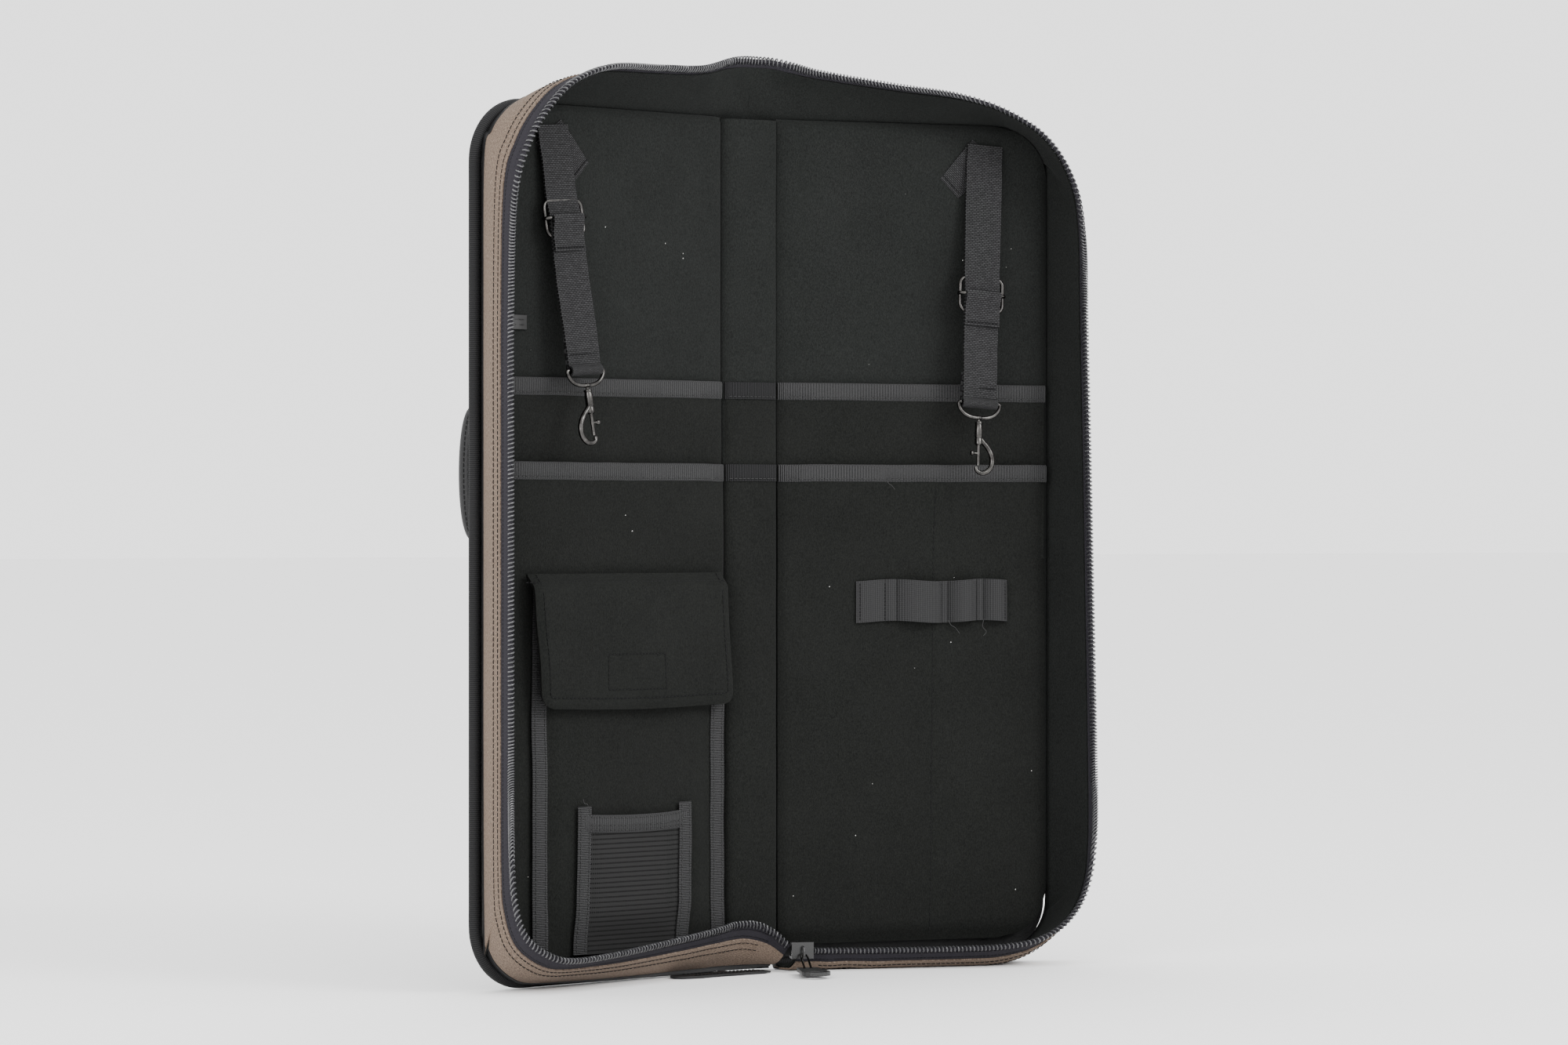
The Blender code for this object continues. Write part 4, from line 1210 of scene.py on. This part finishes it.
grip_line = [grip_bow(k / 60) for k in range(61)]
rope("handle_roll", grip_line, lambda t: 2.2 + 2.9 * math.sin(math.pi * t) ** 0.45, 16,
     leathercloth, "handle", ["handle_grip"], squash=0.95,
     face=Vector((1, 0, 0)))
line = [grip_bow(0.06 + 0.88 * i / 40) + Vector((-4.2, -3.4, 0)) * MM for i in range(41)]
stitches("handle_stitches", line, 3.0, black_thread, "handle", lift=Vector((-0.6, -0.8, 0)),
         width=0.5)
for label, mid in (("lower", 248.0), ("upper", 330.0)):

    def patch_point(s, t, mid=mid):
        u, z = 157 + 16 * s, mid - 9 + 18 * t
        return on_half(-1, u, -11.7 - 0.1 * ripple(u, z, 9), z)

    cloth("handle_patch_" + label, 10, 10, patch_point, (16, 18), 1.4, leathercloth, "left_half",
          ["handle_anchor_" + label], "black_leathercloth")
    frame_line = [(159, mid - 7), (171, mid - 7), (171, mid + 7), (159, mid + 7), (159, mid - 7),
                  (171, mid + 7)]
    for k, (a, b) in enumerate(zip(frame_line, frame_line[1:])):
        line = [on_half(-1, u, -12.6, z) for u, z in between(a, b, 5)]
        stitches("handle_patch_stitches_%s_%d" % (label, k + 1), line, 2.4, grey_thread,
                 "left_half", lift=-FRONT, width=0.5)


def foot_tab_point(s, t):
    """A tongue on the ground: round at its end, with a small hump where it is folded."""
    u = -21 + 65 * s
    wide = 12.5 * math.sqrt(max(1 - max((s - 0.8) / 0.2, 0.0) ** 2, 0.0)) + 1.0
    h = 13.0 - 6.0 * s + (t - 0.5) * wide * (0.85 + 0.3 * s) + 0.5 * ripple(u, 4, 12)
    hump = 1.3 * math.exp(-((u - 8) / 4.0) ** 2) * math.sin(math.pi * t)
    return on_half(-1, u, h, 0.85 + hump)


bend_with(cloth("foot_tongue", 60, 12, foot_tab_point, (65, 12), 1.1, leathercloth, None,
                ["foot_tab"], "black_leathercloth"))
for k, t_at in enumerate((0.14, 0.86)):
    line = [foot_tab_point(0.05 + 0.78 * i / 24, t_at) + Vector((0, 0, 0.7)) * MM
            for i in range(25)]
    bend_with(stitches("foot_tongue_stitches_%d" % (k + 1), line, 2.6, black_thread, None,
                       lift=Vector((0, 0, 1)), width=0.5))


def label_point(s, t):
    u, z = 147.5 + 21 * s, 369.5 + 8 * t
    return on_half(-1, u, 2.2 + 1.2 * math.sin(math.pi * s) + 0.2 * ripple(u, z, 6), z)


label_cloth = start_material("label_cloth", (0.006, 0.006, 0.006), 0.6)
cloth("label_loop", 14, 6, label_point, (21, 8), 0.7, label_cloth, "left_half", ["label_tab"],
      "strap_webbing")
for k, z in enumerate((372.0, 375.0)):
    line = [on_half(-1, 150 + i, 3.6 + 0.2 * math.sin(i), z) for i in range(8)]
    stitches("label_weave_%d" % (k + 1), line, 0.9, grey_thread, "left_half", lift=FRONT,
             width=0.5)

# Lint on the brushed cloth, and a few thread ends at the seams.
random.seed(7)
lint_white = start_material("lint_white", (0.5, 0.5, 0.48), 0.9)
for name, side in SIDES.items():
    verts, faces = [], []
    for k in range(26):
        u, z = random.uniform(8, 160), random.choice((random.uniform(350, 480),
                                                      random.uniform(20, 280)))
        height = front_h(u, z) if z < 295 else 0.6
        spot = on_half(side, u, height + 0.75, z)
        start, size = len(verts), random.uniform(0.18, 0.42) * MM
        for j in range(6):
            turn = math.radians(60 * j) + k
            verts.append(spot + Vector((math.cos(turn) * size * random.uniform(0.5, 1.2),
                                        -0.1 * MM, math.sin(turn) * size)))
        verts += [spot - FRONT * 0.2 * MM, spot + FRONT * 0.25 * MM]
        for j in range(6):
            faces.append((start + j, start + (j + 1) % 6, start + 6))
            faces.append((start + (j + 1) % 6, start + j, start + 7))
    finish_piece(loose_piece(name + "_lint", verts, faces), lint_white, name + "_half")

# Each thread end: its name, its half, where it starts and its steps from there.
THREAD_ENDS = (
    ("elastic_thread_1", "right", (104, 9.5, 204),
     ((1.5, -1, -3), (4, -1.5, -4.5), (7.5, -1, -8))),
    ("elastic_thread_2", "right", (127, 9.0, 204),
     ((-1.5, -1, -4), (0.5, -2, -7), (-1, -1, -9.5))),
    ("binding_thread", "right", (66, 8.0, 286), ((1, -1, -2), (2.5, -1, -2.6), (5, -0.5, -5))),
    ("mesh_thread", "left", (112, 13.5, 101), ((-1, -1, 2), (-3, -1, 2.6), (-3.6, -1, 5))),
)
for label, name, spot, steps in THREAD_ENDS:
    start = on_half(SIDES[name], *spot)
    path = spline([start] + [start + Vector(p) * MM for p in steps], 14)
    rope(label, path, 0.16, 6, grey_thread, name + "_half")

# --------------------------------------------------------------- slider and pull
# The zip's slider stands where the two coils meet. Its bridge carries a wire link, and the link
# a moulded tab with an oval eye, which lies on the ground.


def worn_rubber_material():
    """Moulded black rubber, dulled by handling."""
    made = start_material("pull_rubber", (0.014, 0.014, 0.014), 0.42)
    grain = node(made, "ShaderNodeTexNoise", [("Vector", object_place(made))], Scale=900.0,
                 Detail=4.0)
    tint(made, grain.outputs[0], (0.009, 0.009, 0.009), (0.022, 0.022, 0.022))
    relief(made, grain.outputs[0], 0.25, 0.2)
    return made


pull_rubber = worn_rubber_material()
black_enamel = start_material("black_enamel", (0.012, 0.012, 0.012), 0.22, specular=0.6)
for node_name, material in (("slider_body", black_enamel), ("pull_link", gunmetal),
                            ("pull_tab", pull_rubber)):
    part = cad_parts[node_name]
    part.data.materials.clear()
    part.data.materials.append(material)

# --------------------------------------------------------------- floor, light and camera
# A plain pale floor under soft studio light, and the camera low in front and to the left.

bpy.ops.object.select_all(action="DESELECT")
bpy.ops.mesh.primitive_plane_add(size=60, location=(0, 0, -0.0002))
floor = bpy.context.object
floor.name = "floor"
floor.data.materials.append(start_material("floor_paint", (0.93, 0.93, 0.93), 0.9))

world = bpy.data.worlds.new("studio")
bpy.context.scene.world = world
world.use_nodes = True
world.node_tree.nodes["Background"].inputs["Color"].default_value = (1, 1, 1, 1)
world.node_tree.nodes["Background"].inputs["Strength"].default_value = 2.2


MIDDLE = Vector((0, 0, 0.25))
for name, place, power in (("key_softbox", (1.0, -2.2, 1.7), 55),
                           ("side_softbox", (-2.0, -1.2, 1.0), 22)):
    bpy.ops.object.select_all(action="DESELECT")
    bpy.ops.object.light_add(type="AREA", location=place)
    lamp = bpy.context.object
    lamp.name = name
    lamp.data.size = 1.0
    lamp.data.energy = power
    lamp.rotation_euler = (MIDDLE - Vector(place)).to_track_quat("-Z", "Y").to_euler()

VIEW_TURN = math.radians(-31.0)
DISTANCE, SHIFT_RIGHT, EYE = 2.800, 0.0201, 0.2615
forward = Vector((-math.sin(VIEW_TURN), math.cos(VIEW_TURN), 0))
rightward = Vector((math.cos(VIEW_TURN), math.sin(VIEW_TURN), 0))
bpy.ops.object.camera_add(location=-DISTANCE * forward + SHIFT_RIGHT * rightward
                          + Vector((0, 0, EYE)),
                          rotation=(math.pi / 2, 0, VIEW_TURN))
camera = bpy.context.object
camera.name = "studio_camera"
camera.data.sensor_width, camera.data.lens = 36.0, 110.4
bpy.context.scene.camera = camera
